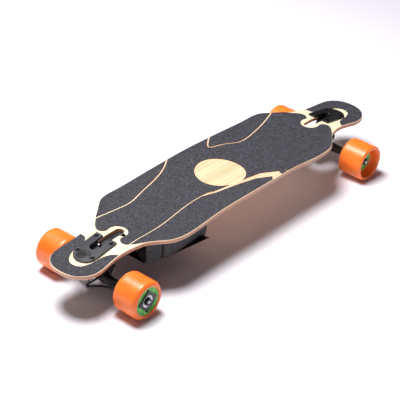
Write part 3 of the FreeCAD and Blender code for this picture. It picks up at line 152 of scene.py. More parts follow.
def grit_tape():
    """Grip tape: silicon-carbide grit in resin on black paper, matt; the grit's own grey tone, with painted
    glints in its palest grains.
    """
    made, tree, shader = material("grit_with_painted_glints_on_black_paper", {"Roughness": 0.78, "Specular IOR Level": 0.45})
    # 0.4 mm grit is drawn as 1.6 mm clusters so that its painted glints show
    place = scaled_place(tree, (per_metre(1.6),) * 3)
    cells = add(tree, "ShaderNodeTexVoronoi", {"Vector": place, "Scale": 1.0}, feature="F1")
    fine = add(tree, "ShaderNodeTexNoise", {"Vector": place, "Scale": 2.3, "Detail": 2.0, "Roughness": 0.7})
    value = add(tree, "ShaderNodeSeparateColor", {"Color": cells.outputs["Color"]}).outputs["Red"]
    both = add(tree, "ShaderNodeMath", {0: value, 1: fine.outputs["Fac"]}, operation="MULTIPLY")
    # the lower stops are the grit's own greys; the palest stop, #8C8C98, is a painted highlight that stands
    # for the grit's glints
    stops = [(0.04, linear("#1B1B20")), (0.30, linear("#303037")), (0.52, linear("#50505A")),
             (0.78, linear("#8C8C98"))]
    tree.links.new(ramp(tree, both.outputs[0], stops), shader.inputs["Base Color"])
    bumped(tree, shader, both.outputs[0], 0.35, 0.8)
    return made


def veneer():
    """Face veneer: sliced bamboo and maple under clear lacquer, pale at the necks, warmer in the middle."""
    made, tree, shader = material("lacquered_veneer",
                                  {"Roughness": 0.38, "Coat Weight": 0.35, "Coat Roughness": 0.2})
    # strips 6 mm wide, with fibres every 0.9 mm that run along the board
    grain_place = scaled_place(tree, (per_metre(90), per_metre(1.8), per_metre(30)))
    grain = add(tree, "ShaderNodeTexNoise",
                {"Vector": grain_place, "Scale": 1.0, "Detail": 5.0, "Roughness": 0.62})
    strip_place = scaled_place(tree, (per_metre(400), per_metre(6.0), per_metre(400)))
    strips = add(tree, "ShaderNodeTexVoronoi", {"Vector": strip_place, "Scale": 1.0, "Randomness": 0.35})
    tone = add(tree, "ShaderNodeSeparateColor", {"Color": strips.outputs["Color"]}).outputs["Green"]
    mixed = add(tree, "ShaderNodeMix", {"Factor": 0.3, "A": grain.outputs["Fac"], "B": tone},
                data_type="FLOAT")
    pale = ramp(tree, mixed.outputs["Result"], [(0.3, linear("#E0CDAA")), (0.6, linear("#F1E3C6"))])
    warm = ramp(tree, mixed.outputs["Result"], [(0.3, linear("#DDAE88")), (0.62, linear("#EDC8A6"))])
    along = add(tree, "ShaderNodeTexCoord").outputs["Object"]
    x = add(tree, "ShaderNodeSeparateXYZ", {"Vector": along}).outputs["X"]
    reach = add(tree, "ShaderNodeMath", {0: x}, operation="ABSOLUTE")
    share = add(tree, "ShaderNodeMapRange", {"Value": reach.outputs[0], "From Min": 0.13, "From Max": 0.30})
    colour = add(tree, "ShaderNodeMix", {"Factor": share.outputs["Result"], "A": warm, "B": pale},
                 data_type="RGBA")
    tree.links.new(colour.outputs["Result"], shader.inputs["Base Color"])
    bumped(tree, shader, grain.outputs["Fac"], 0.08, 0.5)
    return made


def laminate():
    """Sanded edge of the pressed laminate: bamboo and maple plies, each 1.4 mm, in tan, pink and cream."""
    made, tree, shader = material("sanded_laminate_edge",
                                  {"Roughness": 0.5, "Coat Weight": 0.2, "Coat Roughness": 0.3})
    depth = add(tree, "ShaderNodeAttribute", attribute_name="depth_mm").outputs["Fac"]
    wander_place = scaled_place(tree, (per_metre(60),) * 3)
    wander = add(tree, "ShaderNodeTexNoise", {"Vector": wander_place, "Scale": 1.0, "Detail": 2.0})
    shift = add(tree, "ShaderNodeMath", {0: wander.outputs["Fac"], 1: 0.25, 2: depth},
                operation="MULTIPLY_ADD")
    share = add(tree, "ShaderNodeMath", {0: shift.outputs[0], 1: DECK_THICK}, operation="DIVIDE")
    plies = ["#F3DCC0", "#E2A88A", "#EBC0A0", "#DFA588", "#C58F74", "#E8BC9C", "#D59B7E", "#F0D4B8"]
    stops = [(i / len(plies), linear(colour)) for i, colour in enumerate(plies)]
    layers = ramp(tree, share.outputs[0], stops, "CONSTANT")
    fibre_place = scaled_place(tree, (per_metre(5), per_metre(5), per_metre(0.8)))
    fibre = add(tree, "ShaderNodeTexNoise", {"Vector": fibre_place, "Scale": 1.0, "Detail": 3.0})
    dull = ramp(tree, fibre.outputs["Fac"], [(0.3, (0.78, 0.76, 0.74, 1)), (0.7, (1, 1, 1, 1))])
    colour = add(tree, "ShaderNodeMix", {"Factor": 1.0, "A": layers, "B": dull}, data_type="RGBA",
                 blend_type="MULTIPLY")
    tree.links.new(colour.outputs["Result"], shader.inputs["Base Color"])
    bumped(tree, shader, fibre.outputs["Fac"], 0.1, 0.4)
    return made


def speckled(name, dark, light, constants, grain_mm, bump_mm, rough_low, rough_high):
    """Painted, moulded or anodised surface: slow drift of tone, fine texture, and uneven gloss."""
    made, tree, shader = material(name, constants)
    slow_place = scaled_place(tree, (per_metre(35),) * 3)
    slow = add(tree, "ShaderNodeTexNoise", {"Vector": slow_place, "Scale": 1.0, "Detail": 3.0})
    fine_place = scaled_place(tree, (per_metre(grain_mm),) * 3)
    fine = add(tree, "ShaderNodeTexNoise",
               {"Vector": fine_place, "Scale": 1.0, "Detail": 2.0, "Roughness": 0.6})
    colour = ramp(tree, slow.outputs["Fac"], [(0.35, linear(dark)), (0.65, linear(light))])
    tree.links.new(colour, shader.inputs["Base Color"])
    gloss = add(tree, "ShaderNodeMapRange", {"Value": slow.outputs["Fac"], "From Min": 0.3, "From Max": 0.7,
                                             "To Min": rough_low, "To Max": rough_high})
    tree.links.new(gloss.outputs["Result"], shader.inputs["Roughness"])
    bumped(tree, shader, fine.outputs["Fac"], bump_mm, 0.6)
    return made


def brushed(name, dark, light, lines_mm, axis, rough):
    """Turned or drawn metal: fine lines round one axis, from the tool that cut it."""
    made, tree, shader = material(name, {"Metallic": 1.0, "Roughness": rough})
    scale = [per_metre(lines_mm * 14)] * 3
    scale[axis] = per_metre(lines_mm)
    lines = add(tree, "ShaderNodeTexNoise",
                {"Vector": scaled_place(tree, scale), "Scale": 1.0, "Detail": 3.0})
    colour = ramp(tree, lines.outputs["Fac"], [(0.3, linear(dark)), (0.7, linear(light))])
    tree.links.new(colour, shader.inputs["Base Color"])
    bumped(tree, shader, lines.outputs["Fac"], 0.03, 0.4)
    return made


def urethane():
    """Cast urethane: orange right through, a little light passes into it, soft moulded gloss."""
    made, tree, shader = material("cast_orange_urethane", {
        "Roughness": 0.32, "IOR": 1.5, "Subsurface Weight": 0.35, "Subsurface Radius": (1.0, 0.28, 0.06),
        "Subsurface Scale": 0.006, "Coat Weight": 0.15, "Coat Roughness": 0.25})
    slow_place = scaled_place(tree, (per_metre(28),) * 3)
    slow = add(tree, "ShaderNodeTexNoise", {"Vector": slow_place, "Scale": 1.0, "Detail": 3.0})
    colour = ramp(tree, slow.outputs["Fac"], [(0.3, linear("#FF7320")), (0.7, linear("#FF8330"))])
    tree.links.new(colour, shader.inputs["Base Color"])
    # the tread carries the mould's turned lines, one about every 0.6 mm
    fine_place = scaled_place(tree, (per_metre(12), per_metre(0.6), per_metre(12)))
    fine = add(tree, "ShaderNodeTexNoise", {"Vector": fine_place, "Scale": 1.0, "Detail": 2.0})
    bumped(tree, shader, fine.outputs["Fac"], 0.04, 0.5)
    return made


MATERIALS = {
    "grip": grit_tape(),
    "veneer": veneer(),
    "laminate": laminate(),
    "urethane": urethane(),
    # die-cast aluminium under black powder coat: fine orange peel, satin
    "cast_black": speckled("black_powder_coat", "#0E0E0F", "#1A1A1C", {"IOR": 1.5}, 1.1, 0.05, 0.28, 0.42),
    # machined aluminium plate with grey satin anodising
    "plate_grey": speckled("grey_satin_anodising", "#2E3034", "#3B3D42", {"Metallic": 0.35}, 0.7, 0.03,
                           0.34, 0.46),
    # moulded glass-filled nylon, black, slight sheen
    "black_nylon": speckled("black_moulded_nylon", "#0D0D0E", "#171718", {"IOR": 1.53}, 0.9, 0.05, 0.3, 0.45),
    # moulded nylon, leaf green
    "green_nylon": speckled("green_moulded_nylon", "#6FC65A", "#86D872", {"Subsurface Weight": 0.15}, 0.9,
                            0.04, 0.3, 0.45),
    # polycarbonate and ABS tray, moulded with a fine spark texture
    "tray": speckled("black_textured_abs", "#0E0F12", "#17181B", {"IOR": 1.5}, 0.8, 0.09, 0.36, 0.5),
    # extruded aluminium housing, hard anodised black
    "housing": speckled("black_hard_anodising", "#0C0D0F", "#151618", {"Metallic": 0.3}, 0.8, 0.04, 0.24,
                        0.38),
    # cast black urethane of the bushings, polished by the mould
    "bushing": speckled("black_cast_urethane", "#0B0B0C", "#151516", {"Coat Weight": 0.4}, 1.4, 0.02, 0.16,
                        0.26),
    # rubber jacket and caps
    "rubber": speckled("black_moulded_rubber", "#101011", "#1C1C1D", {"Specular IOR Level": 0.35}, 0.7,
                       0.05, 0.5, 0.66),
    # closed-cell foam
    "foam": speckled("black_cell_foam", "#0C0C0D", "#171718", {"Specular IOR Level": 0.2}, 1.2, 0.2, 0.85,
                     0.95),
    # zinc-plated or ground steel
    "steel": brushed("zinc_plated_steel", "#9A9A9C", "#CFCFD2", 0.5, 1, 0.24),
    "black_steel": brushed("black_oxide_steel", "#1B1B1D", "#333337", 0.5, 2, 0.34),
    # stacked sheet laminations of the stator
    "stator": brushed("laminated_steel_sheets", "#5A5B60", "#8C8D92", 0.5, 1, 0.45),
    "copper": brushed("enamelled_copper_wire", "#9C4A1E", "#D5793A", 0.8, 0, 0.28),
    # shrink film over the cells
    "cell": speckled("blue_shrink_film", "#1C5C8C", "#2C78AE", {"Coat Weight": 0.3}, 2.0, 0.03, 0.28, 0.4),
    # glass-fibre board with solder mask
    "board": speckled("green_solder_mask", "#0E4A26", "#166634", {"Coat Weight": 0.4}, 1.6, 0.05, 0.25, 0.4),
    # frosted light guide
    "light": speckled("smoked_polycarbonate", "#2A2E33", "#3A4046", {"Transmission Weight": 0.1}, 0.8,
                      0.03, 0.3, 0.4),
}
SLOT_LOOKS = {
    "bamboo_core": "laminate", "maple_face": "veneer", "grip": "grip", "cast_black": "cast_black",
    "plate_grey": "plate_grey", "cap_black": "black_nylon", "steel": "steel", "black_steel": "black_steel",
    "bushing": "bushing", "cup": "bushing", "tyre_orange": "urethane", "core_green": "green_nylon",
    "spider_black": "black_nylon", "can": "cast_black", "stator": "stator", "copper": "copper",
    "housing": "housing", "tray": "tray", "foam": "foam", "cell": "cell", "board": "board",
    "button": "black_nylon", "light": "light", "rubber_cap": "rubber", "cable": "rubber",
}
SLOT_OF = {part["node"]: part["material_slot"] for part in frame["record"]["subparts"]}
BODY_OF = {node: body for body, group in frame["record"]["behaviour"]["bodies"].items() for node in group}


def paint(piece, look):
    piece.data.materials.clear()
    piece.data.materials.append(MATERIALS[look])


for node_name, node_object in nodes.items():
    paint(node_object, SLOT_LOOKS[SLOT_OF[node_name]])
paint(nodes["kingpins"], "black_steel")

# ---------------------------------------------------------------- new pieces


def linked(name, mesh, look):
    piece = bpy.data.objects.new(name, mesh)
    bpy.context.scene.collection.objects.link(piece)
    paint(piece, look)
    return piece


def stands_for(piece, node):
    """The piece takes a CAD node's place and motion."""
    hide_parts(node)
    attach(piece, BODY_OF[node])


def quads(rows, columns, wrap_rows, wrap_columns):
    """Faces of a grid of points, row after row: each joins points (i, j), (i, j+1), (i+1, j+1), (i+1, j)."""
    i = np.arange(rows if wrap_rows else rows - 1)
    j = np.arange(columns if wrap_columns else columns - 1)
    i, j = np.meshgrid(i, j, indexing="ij")
    below, over = (i + 1) % rows, (j + 1) % columns
    corners = (i * columns + j, i * columns + over, below * columns + over, below * columns + j)
    return np.stack(corners, axis=-1).reshape(-1, 4).tolist()


def surface(name, points, look, wrap_rows=True, caps=False):
    """Closed smooth mesh on a grid of points in millimetres; columns always wrap, caps close an open tube."""
    rows, columns = points.shape[:2]
    faces = quads(rows, columns, wrap_rows, True)
    if caps:
        faces.append(list(range(columns)))
        faces.append(list(range((rows - 1) * columns, rows * columns)))
    mesh = bpy.data.meshes.new(name)
    mesh.from_pydata((points.reshape(-1, 3) * MM).tolist(), [], faces)
    return linked(name, outward(mesh), look)


def outward(mesh):
    """Turns every face of a closed mesh outward and shades it smooth."""
    work = bmesh.new()
    work.from_mesh(mesh)
    bmesh.ops.recalc_face_normals(work, faces=work.faces)
    work.to_mesh(mesh)
    work.free()
    mesh.shade_smooth()
    return mesh


def rounded(corners, radii, steps=6):
    """Closed outline whose corners are parabolas: (1-t)^2 a + 2t(1-t) c + t^2 b.

    c is the corner, and a and b lie on its two sides at its radius, or 0.45 of the shorter side, from it.
    """
    corners = np.array(corners, float)
    back = np.roll(corners, 1, axis=0) - corners
    ahead = np.roll(corners, -1, axis=0) - corners
    back_long = np.linalg.norm(back, axis=1)
    ahead_long = np.linalg.norm(ahead, axis=1)
    reach = np.minimum(radii, 0.45 * np.minimum(back_long, ahead_long))
    start = corners + back * (reach / back_long)[:, None]
    end = corners + ahead * (reach / ahead_long)[:, None]
    t = np.linspace(0, 1, steps)[None, :, None]
    curve = (1 - t) ** 2 * start[:, None] + 2 * t * (1 - t) * corners[:, None] + t**2 * end[:, None]
    return curve.reshape(-1, 2)


def dense(outline, step):
    """Closed outline with points added so that its straight runs are at most a step long."""
    closed = np.vstack([outline, outline[:1]])
    along = np.concatenate([[0], np.cumsum(np.linalg.norm(np.diff(closed, axis=0), axis=1))])
    places = np.union1d(along[:-1], np.arange(0, along[-1], step))
    places = places[np.concatenate([[True], np.diff(places) > 1e-3])]
    return np.stack([np.interp(places, along, closed[:, k]) for k in (0, 1)], axis=-1)


def turned(outline, turns=160):
    """Outline of (radius, height) turned about Z: (r cos a, r sin a, h) for a over a full turn."""
    angle = np.linspace(0, 2 * np.pi, turns, endpoint=False)
    radius, height = outline[:, :1], outline[:, 1:]
    return np.stack([radius * np.cos(angle), radius * np.sin(angle), height + 0 * angle], axis=-1)


def on_wheel(end, side, local):
    """Points of a wheel's own frame, +Z out along the axle, in the board's frame."""
    out = SIDES[side]
    x, y, z = local[..., 0], local[..., 1], local[..., 2]
    return np.stack([ENDS[end] * AXLE_X + x, out * (TRACK_HALF + z), AXLE_Z - out * y], axis=-1)


def node_size(node):
    low, high = span(node)
    return high - low


TREAD = float(node_size("front_left_tyre")[2]) / 2
HALF_TYRE = float(node_size("front_left_tyre")[1]) / 2
FREE_CORE = float(node_size("front_left_core")[0]) / 2 + 0.05
FREE_OUTER = float(span("front_left_core")[1][1]) - TRACK_HALF + 0.2
FREE_INNER = float(span("front_left_core")[0][1]) - TRACK_HALF - 0.2
SLEEVE = float(node_size("rear_left_core")[0]) / 2 + 0.05
FACE = float(span("rear_left_core")[1][1]) - TRACK_HALF


def make_tyres():
    """Cast tyres: deep mouth and thin rounded lip in front, shallow recess and round shoulders behind."""
    half = HALF_TYRE
    free = rounded([(FREE_CORE, FREE_INNER), (FREE_CORE + 6, 1 - half), (FREE_CORE + 7, -half),
                    (TREAD - 4, -half),
                    (TREAD, 4 - half), (TREAD, half - 4), (TREAD - 2.2, half), (35.6, half), (33, half - 3),
                    (29.5, FREE_OUTER + 3), (28, FREE_OUTER), (FREE_CORE, FREE_OUTER)],
                   np.array([1, 1, 1, 3, 3, 3.2, 1.6, 1.8, 5, 4, 1, 0.4]))
    driven = rounded([(SLEEVE, 1 - half), (SLEEVE + 1, -half), (TREAD - 5, -half), (TREAD, 6 - half),
                      (TREAD, half - 6), (TREAD - 4.6, half - 0.2), (SLEEVE + 2.2, half), (SLEEVE, half - 2)],
                     np.array([1, 1, 4, 4, 4.5, 2.6, 1.6, 0.6]))
    for end, outline in (("front", free), ("rear", driven)):
        points = turned(dense(outline, 2.0))
        for side in SIDES:
            node = f"{end}_{side}_tyre"
            stands_for(surface(f"{node}_cast", on_wheel(end, side, points), "urethane"), node)


def smooth_step(value, low, high):
    share = np.clip((value - low) / (high - low), 0, 1)
    return share * share * (3 - 2 * share)


def make_driven_cores():
    """Green core of a driven wheel: a face with a rim and four pockets between the arms of the drive spider.

    Its face is height(r, a) = face - depth * ring(r) * sector(a): ring is 1 between the pocket's two radii
    and sector is 1 away from the four arms, both with smooth sides.
    """
    angle = np.linspace(0, 2 * np.pi, 240, endpoint=False)
    radius = np.concatenate([[14.2], np.linspace(14.6, SLEEVE - 0.6, 60), [SLEEVE - 0.15]])
    r, a = np.meshgrid(radius, angle, indexing="ij")
    ring = smooth_step(r, 20.6, 22.2) * (1 - smooth_step(r, 28.0, 29.6))
    sector = smooth_step(np.abs(np.sin(2 * a)), 0.42, 0.66)
    pad = smooth_step(np.sin(2 * a), 0.75, 0.95) * smooth_step(r, 22.6, 24) * (1 - smooth_step(r, 26.4, 28))
    rim = 0.7 * smooth_step(r, 29.8, 30.5)
    edge = 0.35 * smooth_step(r, SLEEVE - 0.6, SLEEVE)
    height = FACE - 0.7 + rim - edge - 2.6 * ring * sector + 1.7 * pad * ring
    top = np.stack([r * np.cos(a), r * np.sin(a), height], axis=-1)
    outline = np.array([(SLEEVE - 0.05, FACE - 0.5), (SLEEVE - 0.05, 2 - HALF_TYRE),
                        (SLEEVE - 2, 2 - HALF_TYRE),
                        (SLEEVE - 2, FACE - 6.8), (14.2, FACE - 6.8)])
    side_points = turned(outline, 240)
    grid = np.concatenate([top, side_points], axis=0)
    for side in SIDES:
        node = f"rear_{side}_core"
        stands_for(surface(f"{node}_moulded", on_wheel("rear", side, grid), "green_nylon"), node)


def make_spiders():
    """Black drive spider: a ring whose edge runs out into four arms, r(a) = hub + reach * |cos 2a|^9."""
    angle = np.linspace(0, 2 * np.pi, 288, endpoint=False)
    reach = np.abs(np.cos(2 * angle)) ** 9
    outer = 19.4 + 8.4 * reach
    share = np.array([0.0, 0.0, 0.1, 0.5, 0.88, 1.0, 1.0])
    height = np.array([FACE - 0.6, FACE + 1.2, FACE + 1.7, FACE + 2.0, FACE + 1.5, FACE + 0.7, FACE - 0.6])
    radius = 14.05 + share[:, None] * (outer[None, :] - 14.05)
    lift = height[:, None] - 0.9 * share[:, None] * reach[None, :]
    points = np.stack([radius * np.cos(angle), radius * np.sin(angle), lift], axis=-1)
    for side in SIDES:
        node = f"rear_{side}_spider"
        stands_for(surface(f"{node}_moulded", on_wheel("rear", side, points), "black_nylon"), node)


def make_bearings():
    """Bearing in a driven wheel's face: ground outer ring, pressed shield, inner ring round the axle."""
    low = FACE - 7
    outline = rounded([(4.2, low), (13.9, low), (13.9, FACE + 0.9), (12.4, FACE + 0.9), (12.1, FACE + 0.4),
                       (9.4, FACE + 0.4), (8.9, FACE - 0.4), (4.2, FACE - 0.4)],
                      np.array([0.3, 0.4, 0.5, 0.3, 0.3, 0.4, 0.4, 0.3]), 4)
    inner = rounded([(12.05, -HALF_TYRE + 4), (18.45, -HALF_TYRE + 4), (18.45, 11 - HALF_TYRE),
                     (12.05, 11 - HALF_TYRE)], 0.4, 4)
    for side in SIDES:
        node = f"rear_{side}_bearings"
        stands_for(surface(f"{node}_face_ring", on_wheel("rear", side, turned(outline)), "steel"), node)
        ring = surface(f"{node}_cover_ring", on_wheel("rear", side, turned(inner)), "steel")
        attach(ring, BODY_OF[node])


EDGE_SEGMENTS = 2
EDGE_DEGREES = 38  # edges that turn more than this are rounded


def sharp_copy(node, name, width, look):
    """Copy of a CAD node's mesh with its points merged and its sharp edges rounded, flat faces kept flat."""
    mesh = nodes[node].data.copy()
    mesh.name = name
    work = bmesh.new()
    work.from_mesh(mesh)
    bmesh.ops.remove_doubles(work, verts=work.verts, dist=MERGE_DISTANCE * MM)
    bmesh.ops.dissolve_limit(work, angle_limit=math.radians(0.8), verts=work.verts, edges=work.edges)
    work.to_mesh(mesh)
    work.free()
    mesh.shade_smooth()
    piece = linked(name, mesh, look)
    bevel = piece.modifiers.new("rounded_edges", "BEVEL")
    bevel.width = width * MM
    bevel.segments = EDGE_SEGMENTS
    bevel.limit_method = "ANGLE"
    bevel.angle_limit = math.radians(EDGE_DEGREES)
    bevel.use_clamp_overlap = False
    flat = piece.modifiers.new("flat_faces", "WEIGHTED_NORMAL")
    flat.weight = 100
    stands_for(piece, node)


# ---------------------------------------------------------------- deck

MOUNT_SLOPE = math.tan(math.radians(SEAT_DEGREES))
# (share of the way from the middle to an axle, share of the full concave there)
CONCAVE_SHARES = np.array([(0.0, 1.0), (0.29, 1.0), (0.57, 0.55), (0.72, 0.68), (0.82, 1.12), (0.925, 0.0),
                           (2.0, 0.0)])


def deck_top(x, y):
    """Height of the deck's top: cambered middle, sloping seats, lifted tips, rails raised as y squared."""
    reach = np.abs(x)
    bend = AXLE_X * 0.9147
    standing = AXLE_Z + SEAT_HIGH + MOUNT_SLOPE * (AXLE_X + SEAT_BEYOND - bend)
    wave = (1 + np.cos(np.pi * np.minimum(reach / (AXLE_X * 0.64), 1))) / 2
    tip = DECK_HIGH[0] - 55.0
    height = standing + 4.0 * wave - MOUNT_SLOPE * 4 * np.logaddexp(0, (reach - bend) / 4)
    height += 0.19 * 6 * np.logaddexp(0, (reach - tip) / 6)
    share = reach / AXLE_X
    index = np.clip(np.searchsorted(CONCAVE_SHARES[:, 0], share), 1, len(CONCAVE_SHARES) - 1)
    low, high = CONCAVE_SHARES[index - 1], CONCAVE_SHARES[index]
    part = smooth_step(share, low[:, 0], high[:, 0])
    concave = 10.7 * (low[:, 1] + (high[:, 1] - low[:, 1]) * part)
    return height + concave * (y / DECK_HIGH[1]) ** 2


def make_deck():
    """Plies with the outer rims rounded, and every point's depth under the top kept for the laminate."""
    for node, rim_at in (("deck_top_ply", 0.0), ("deck_core", None), ("deck_bottom_ply", DECK_THICK)):
        mesh = nodes[node].data.copy()
        mesh.name = f"{node}_pressed"
        work = bmesh.new()
        work.from_mesh(mesh)
        bmesh.ops.remove_doubles(work, verts=work.verts, dist=MERGE_DISTANCE * MM)
        places = np.array([v.co[:] for v in work.verts]) / MM
        depth = deck_top(places[:, 0], places[:, 1]) - places[:, 2]
        kept = work.verts.layers.float.new("depth_mm")
        weight = work.edges.layers.float.new("bevel_weight_edge")
        for vert, value in zip(work.verts, depth):
            vert[kept] = value
        for edge in work.edges:
            if rim_at is None or len(edge.link_faces) != 2:
                continue
            at_rim = all(abs(v[kept] - rim_at) < 0.35 for v in edge.verts)
            if at_rim and edge.calc_face_angle(0.0) > math.radians(50):
                edge[weight] = 1.0
        work.to_mesh(mesh)
        work.free()
        mesh.shade_smooth()
        piece = linked(mesh.name, mesh, "laminate")
        piece.data.materials.append(MATERIALS["veneer"])
        if rim_at is not None:
            normals = np.array([polygon.normal.z for polygon in mesh.polygons])
            up = normals > 0.5 if rim_at == 0.0 else normals < -0.5
            for polygon, is_face in zip(mesh.polygons, up):
                polygon.material_index = int(is_face)
            bevel = piece.modifiers.new("sanded_rim", "BEVEL")
            bevel.width = 1.3 * MM
            bevel.segments = 3
            bevel.limit_method = "WEIGHT"
            bevel.use_clamp_overlap = False
        mesh.set_sharp_from_angle(angle=math.radians(40))
        stands_for(piece, node)


# ---------------------------------------------------------------- truck and enclosure details


def steer_place(end, along, height, local):
    """Points round the steering axis: along is up and out along it, height is square to it and up."""
    tilt = math.radians(STEER_DEGREES)
    x, y, z = local[..., 0] + along, local[..., 1], local[..., 2] + height + 8.0
    ahead = x * math.cos(tilt) - z * math.sin(tilt)
    up = x * math.sin(tilt) + z * math.cos(tilt)
    turn = ENDS[end]
    return np.stack([turn * (AXLE_X + ahead), turn * y, AXLE_Z + up], axis=-1)


RING_REACH = 24.0
RING_HALF = 5.0
UPPER_LONG = 15.0
LOWER_LONG = 17.0


def make_bushings():
    """Urethane bushings, barrel above and cone below the ring, between deck and hanger."""
    barrel = rounded([(5.2, 0), (13.4, 0), (14, 4), (14, 11), (13.4, UPPER_LONG), (5.2, UPPER_LONG)],
                     np.array([0.4, 1.4, 3, 3, 1.4, 0.4]))
    conical = rounded([(5.2, 0), (13.4, 0), (14, 2.4), (10.6, LOWER_LONG), (5.2, LOWER_LONG)],
                      np.array([0.4, 1.2, 1.8, 1.5, 0.4]))
    for end in ENDS:
        for name, outline, flip in (("upper", barrel, 1), ("lower", conical, -1)):
            points = turned(dense(outline, 1.2), 96)
            points[..., 2] = flip * (points[..., 2] + RING_HALF)
            node = f"{end}_{name}_bushing"
            piece = surface(f"{node}_cast", steer_place(end, RING_REACH, 0, points), "bushing")
            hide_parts(node)
            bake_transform(piece)


# the route of a motor cable: ahead of the rear axle, out from the middle, above the axle
CABLE_ROUTE = np.array([(65.0, 26.0, 35.5), (45.0, 27.0, 36.0), (22.0, 30.0, 33.0), (1.0, 31.0, 27.0),
                        (-19.0, 30.0, 19.5), (-38.0, 25.0, 11.5), (-49.0, 17.0, 6.0), (-46.0, 16.0, -2.5),
                        (-31.0, 25.0, -4.0), (-22.0, 42.0, -1.5), (-20.5, 60.0, 3.0)])
CABLE_RADIUS = 2.4


def smooth_path(points, steps):
    """Quadratic B-spline through the middles of the runs: (1-t)^2 a + 2t(1-t) p + t^2 b, from end to end."""
    middles = (points[1:-2] + points[2:-1]) / 2
    start = np.vstack([points[:1], middles])[:, None]
    inner = points[1:-1][:, None]
    end = np.vstack([middles, points[-1:]])[:, None]
    t = np.linspace(0, 1, steps)[None, :, None]
    curve = (1 - t) ** 2 * start + 2 * t * (1 - t) * inner + t**2 * end
    return curve.reshape(-1, 3)


def tube(path, radius, sides=20):
    """Tube of circles square to a path: centre + radius (cos a n + sin a b), n carried along the path."""
    path = path[np.concatenate([[True], np.linalg.norm(np.diff(path, axis=0), axis=1) > 1e-4])]
    tangent = np.gradient(path, axis=0)
    tangent /= np.linalg.norm(tangent, axis=1)[:, None]
    normal = np.zeros_like(path)
    normal[0] = np.cross(tangent[0], (0.0, 1.0, 0.0))
    for i in range(1, len(path)):
        normal[i] = normal[i - 1] - tangent[i] * (normal[i - 1] @ tangent[i])
        normal[i] /= np.linalg.norm(normal[i])
    normal[0] /= np.linalg.norm(normal[0])
    side = np.cross(tangent, normal)
    angle = np.linspace(0, 2 * np.pi, sides, endpoint=False)[None, :, None]
    return path[:, None] + radius * (np.cos(angle) * normal[:, None] + np.sin(angle) * side[:, None])


def make_cables():
    """Motor cables, held at the controller and at the motors."""
    first = True
    for side, out in SIDES.items():
        route = np.stack([CABLE_ROUTE[:, 0] - AXLE_X, out * CABLE_ROUTE[:, 1], AXLE_Z + CABLE_ROUTE[:, 2]],
                         axis=-1)
        piece = surface(f"motor_cable_{side}", tube(smooth_path(route, 12), CABLE_RADIUS), "rubber", False,
                        True)
        if first:
            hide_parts("motor_cables")
            first = False
        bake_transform(piece)


def make_cap():
    """Cap on the rear plate: height(r, a) = crown - groove(r, a), with four arc ribs across one half.

    The ribs follow r' = distance from a point on the rim, so they run as nested arcs, and the crown falls off
    at the rim.
    """
    seat = math.radians(SEAT_DEGREES)
    angle = np.linspace(0, 2 * np.pi, 120, endpoint=False)
    radius = np.concatenate([[0.2], np.linspace(0.8, 15.0, 56)])
    r, a = np.meshgrid(radius, angle, indexing="ij")
    x, y = r * np.cos(a), r * np.sin(a)
    away = np.hypot(x + 11.0, y - 9.0)
    ribs = 0.5 + 0.5 * np.cos(away * (2 * np.pi / 4.6))
    zone = smooth_step(away, 8.0, 10.0) * (1 - smooth_step(r, 12.6, 13.6))
    height = 0.75 + 0.55 * ribs * zone - 0.5 * smooth_step(r, 13.8, 15.0)
    top = np.stack([x, y, height], axis=-1)
    foot = turned(np.array([(15.0, 0.0), (0.2, 0.0)]), 120)
    local = np.concatenate([top, foot], axis=0)
    along, up = local[..., 0] + 31.9, local[..., 2] + 4.5
    ahead = AXLE_X + SEAT_BEYOND + along * math.cos(seat) + up * math.sin(seat)
    height = AXLE_Z + SEAT_HIGH - along * math.sin(seat) + up * math.cos(seat)
    points = np.stack([-ahead, -local[..., 1], height], axis=-1)
    stands_for(surface("rear_plate_cap_moulded", points, "black_nylon"), "rear_plate_cap")


def make_side_pads():
    """Raised slanted pads on the controller housing's two sides: u along it, v up it, in a sheared frame.

    Each pad is point(u, v) = corner + u along + v (up + lean along) + rise(u, v) out, and rise is a flat pad
    whose four sides fall off smoothly.
    """
    low, high = span("esc_housing")
    u, v = np.meshgrid(np.linspace(0, 1, 24), np.linspace(0, 1, 24), indexing="ij")
    edge = np.minimum(np.minimum(u, 1 - u) / 0.09, np.minimum(v, 1 - v) / 0.09)
    rise = 1.6 * smooth_step(edge, 0.0, 1.0) - 0.3
    for side, out in SIDES.items():
        for k, (start, long, lean) in enumerate(((0.10, 0.30, 0.10), (0.50, 0.34, -0.10))):
            back = np.array([low[0], out * HOUSING_BACK_HALF])
            front = np.array([high[0], out * (high[1] - 0.3)])
            along = (front - back) / np.linalg.norm(front - back)
            normal = np.array([-along[1], along[0]]) * (1 if along[0] * out > 0 else -1)
            total = np.linalg.norm(front - back)
            reach = (start + long * u + lean * (v - 0.5)) * total
            plan = back + reach[..., None] * along + rise[..., None] * normal
            z = low[2] + 7.0 + v * 22.0
            outer = np.concatenate([plan, z[..., None]], axis=-1)
            inner = np.concatenate([back + reach[..., None] * along - 0.8 * normal, z[..., None]], axis=-1)
            shell = np.concatenate([outer, inner[:, ::-1]], axis=1)
            piece = surface(f"esc_housing_pad_{side}_{k}", shell, "housing", False, True)
            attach(piece, BODY_OF["esc_housing"])


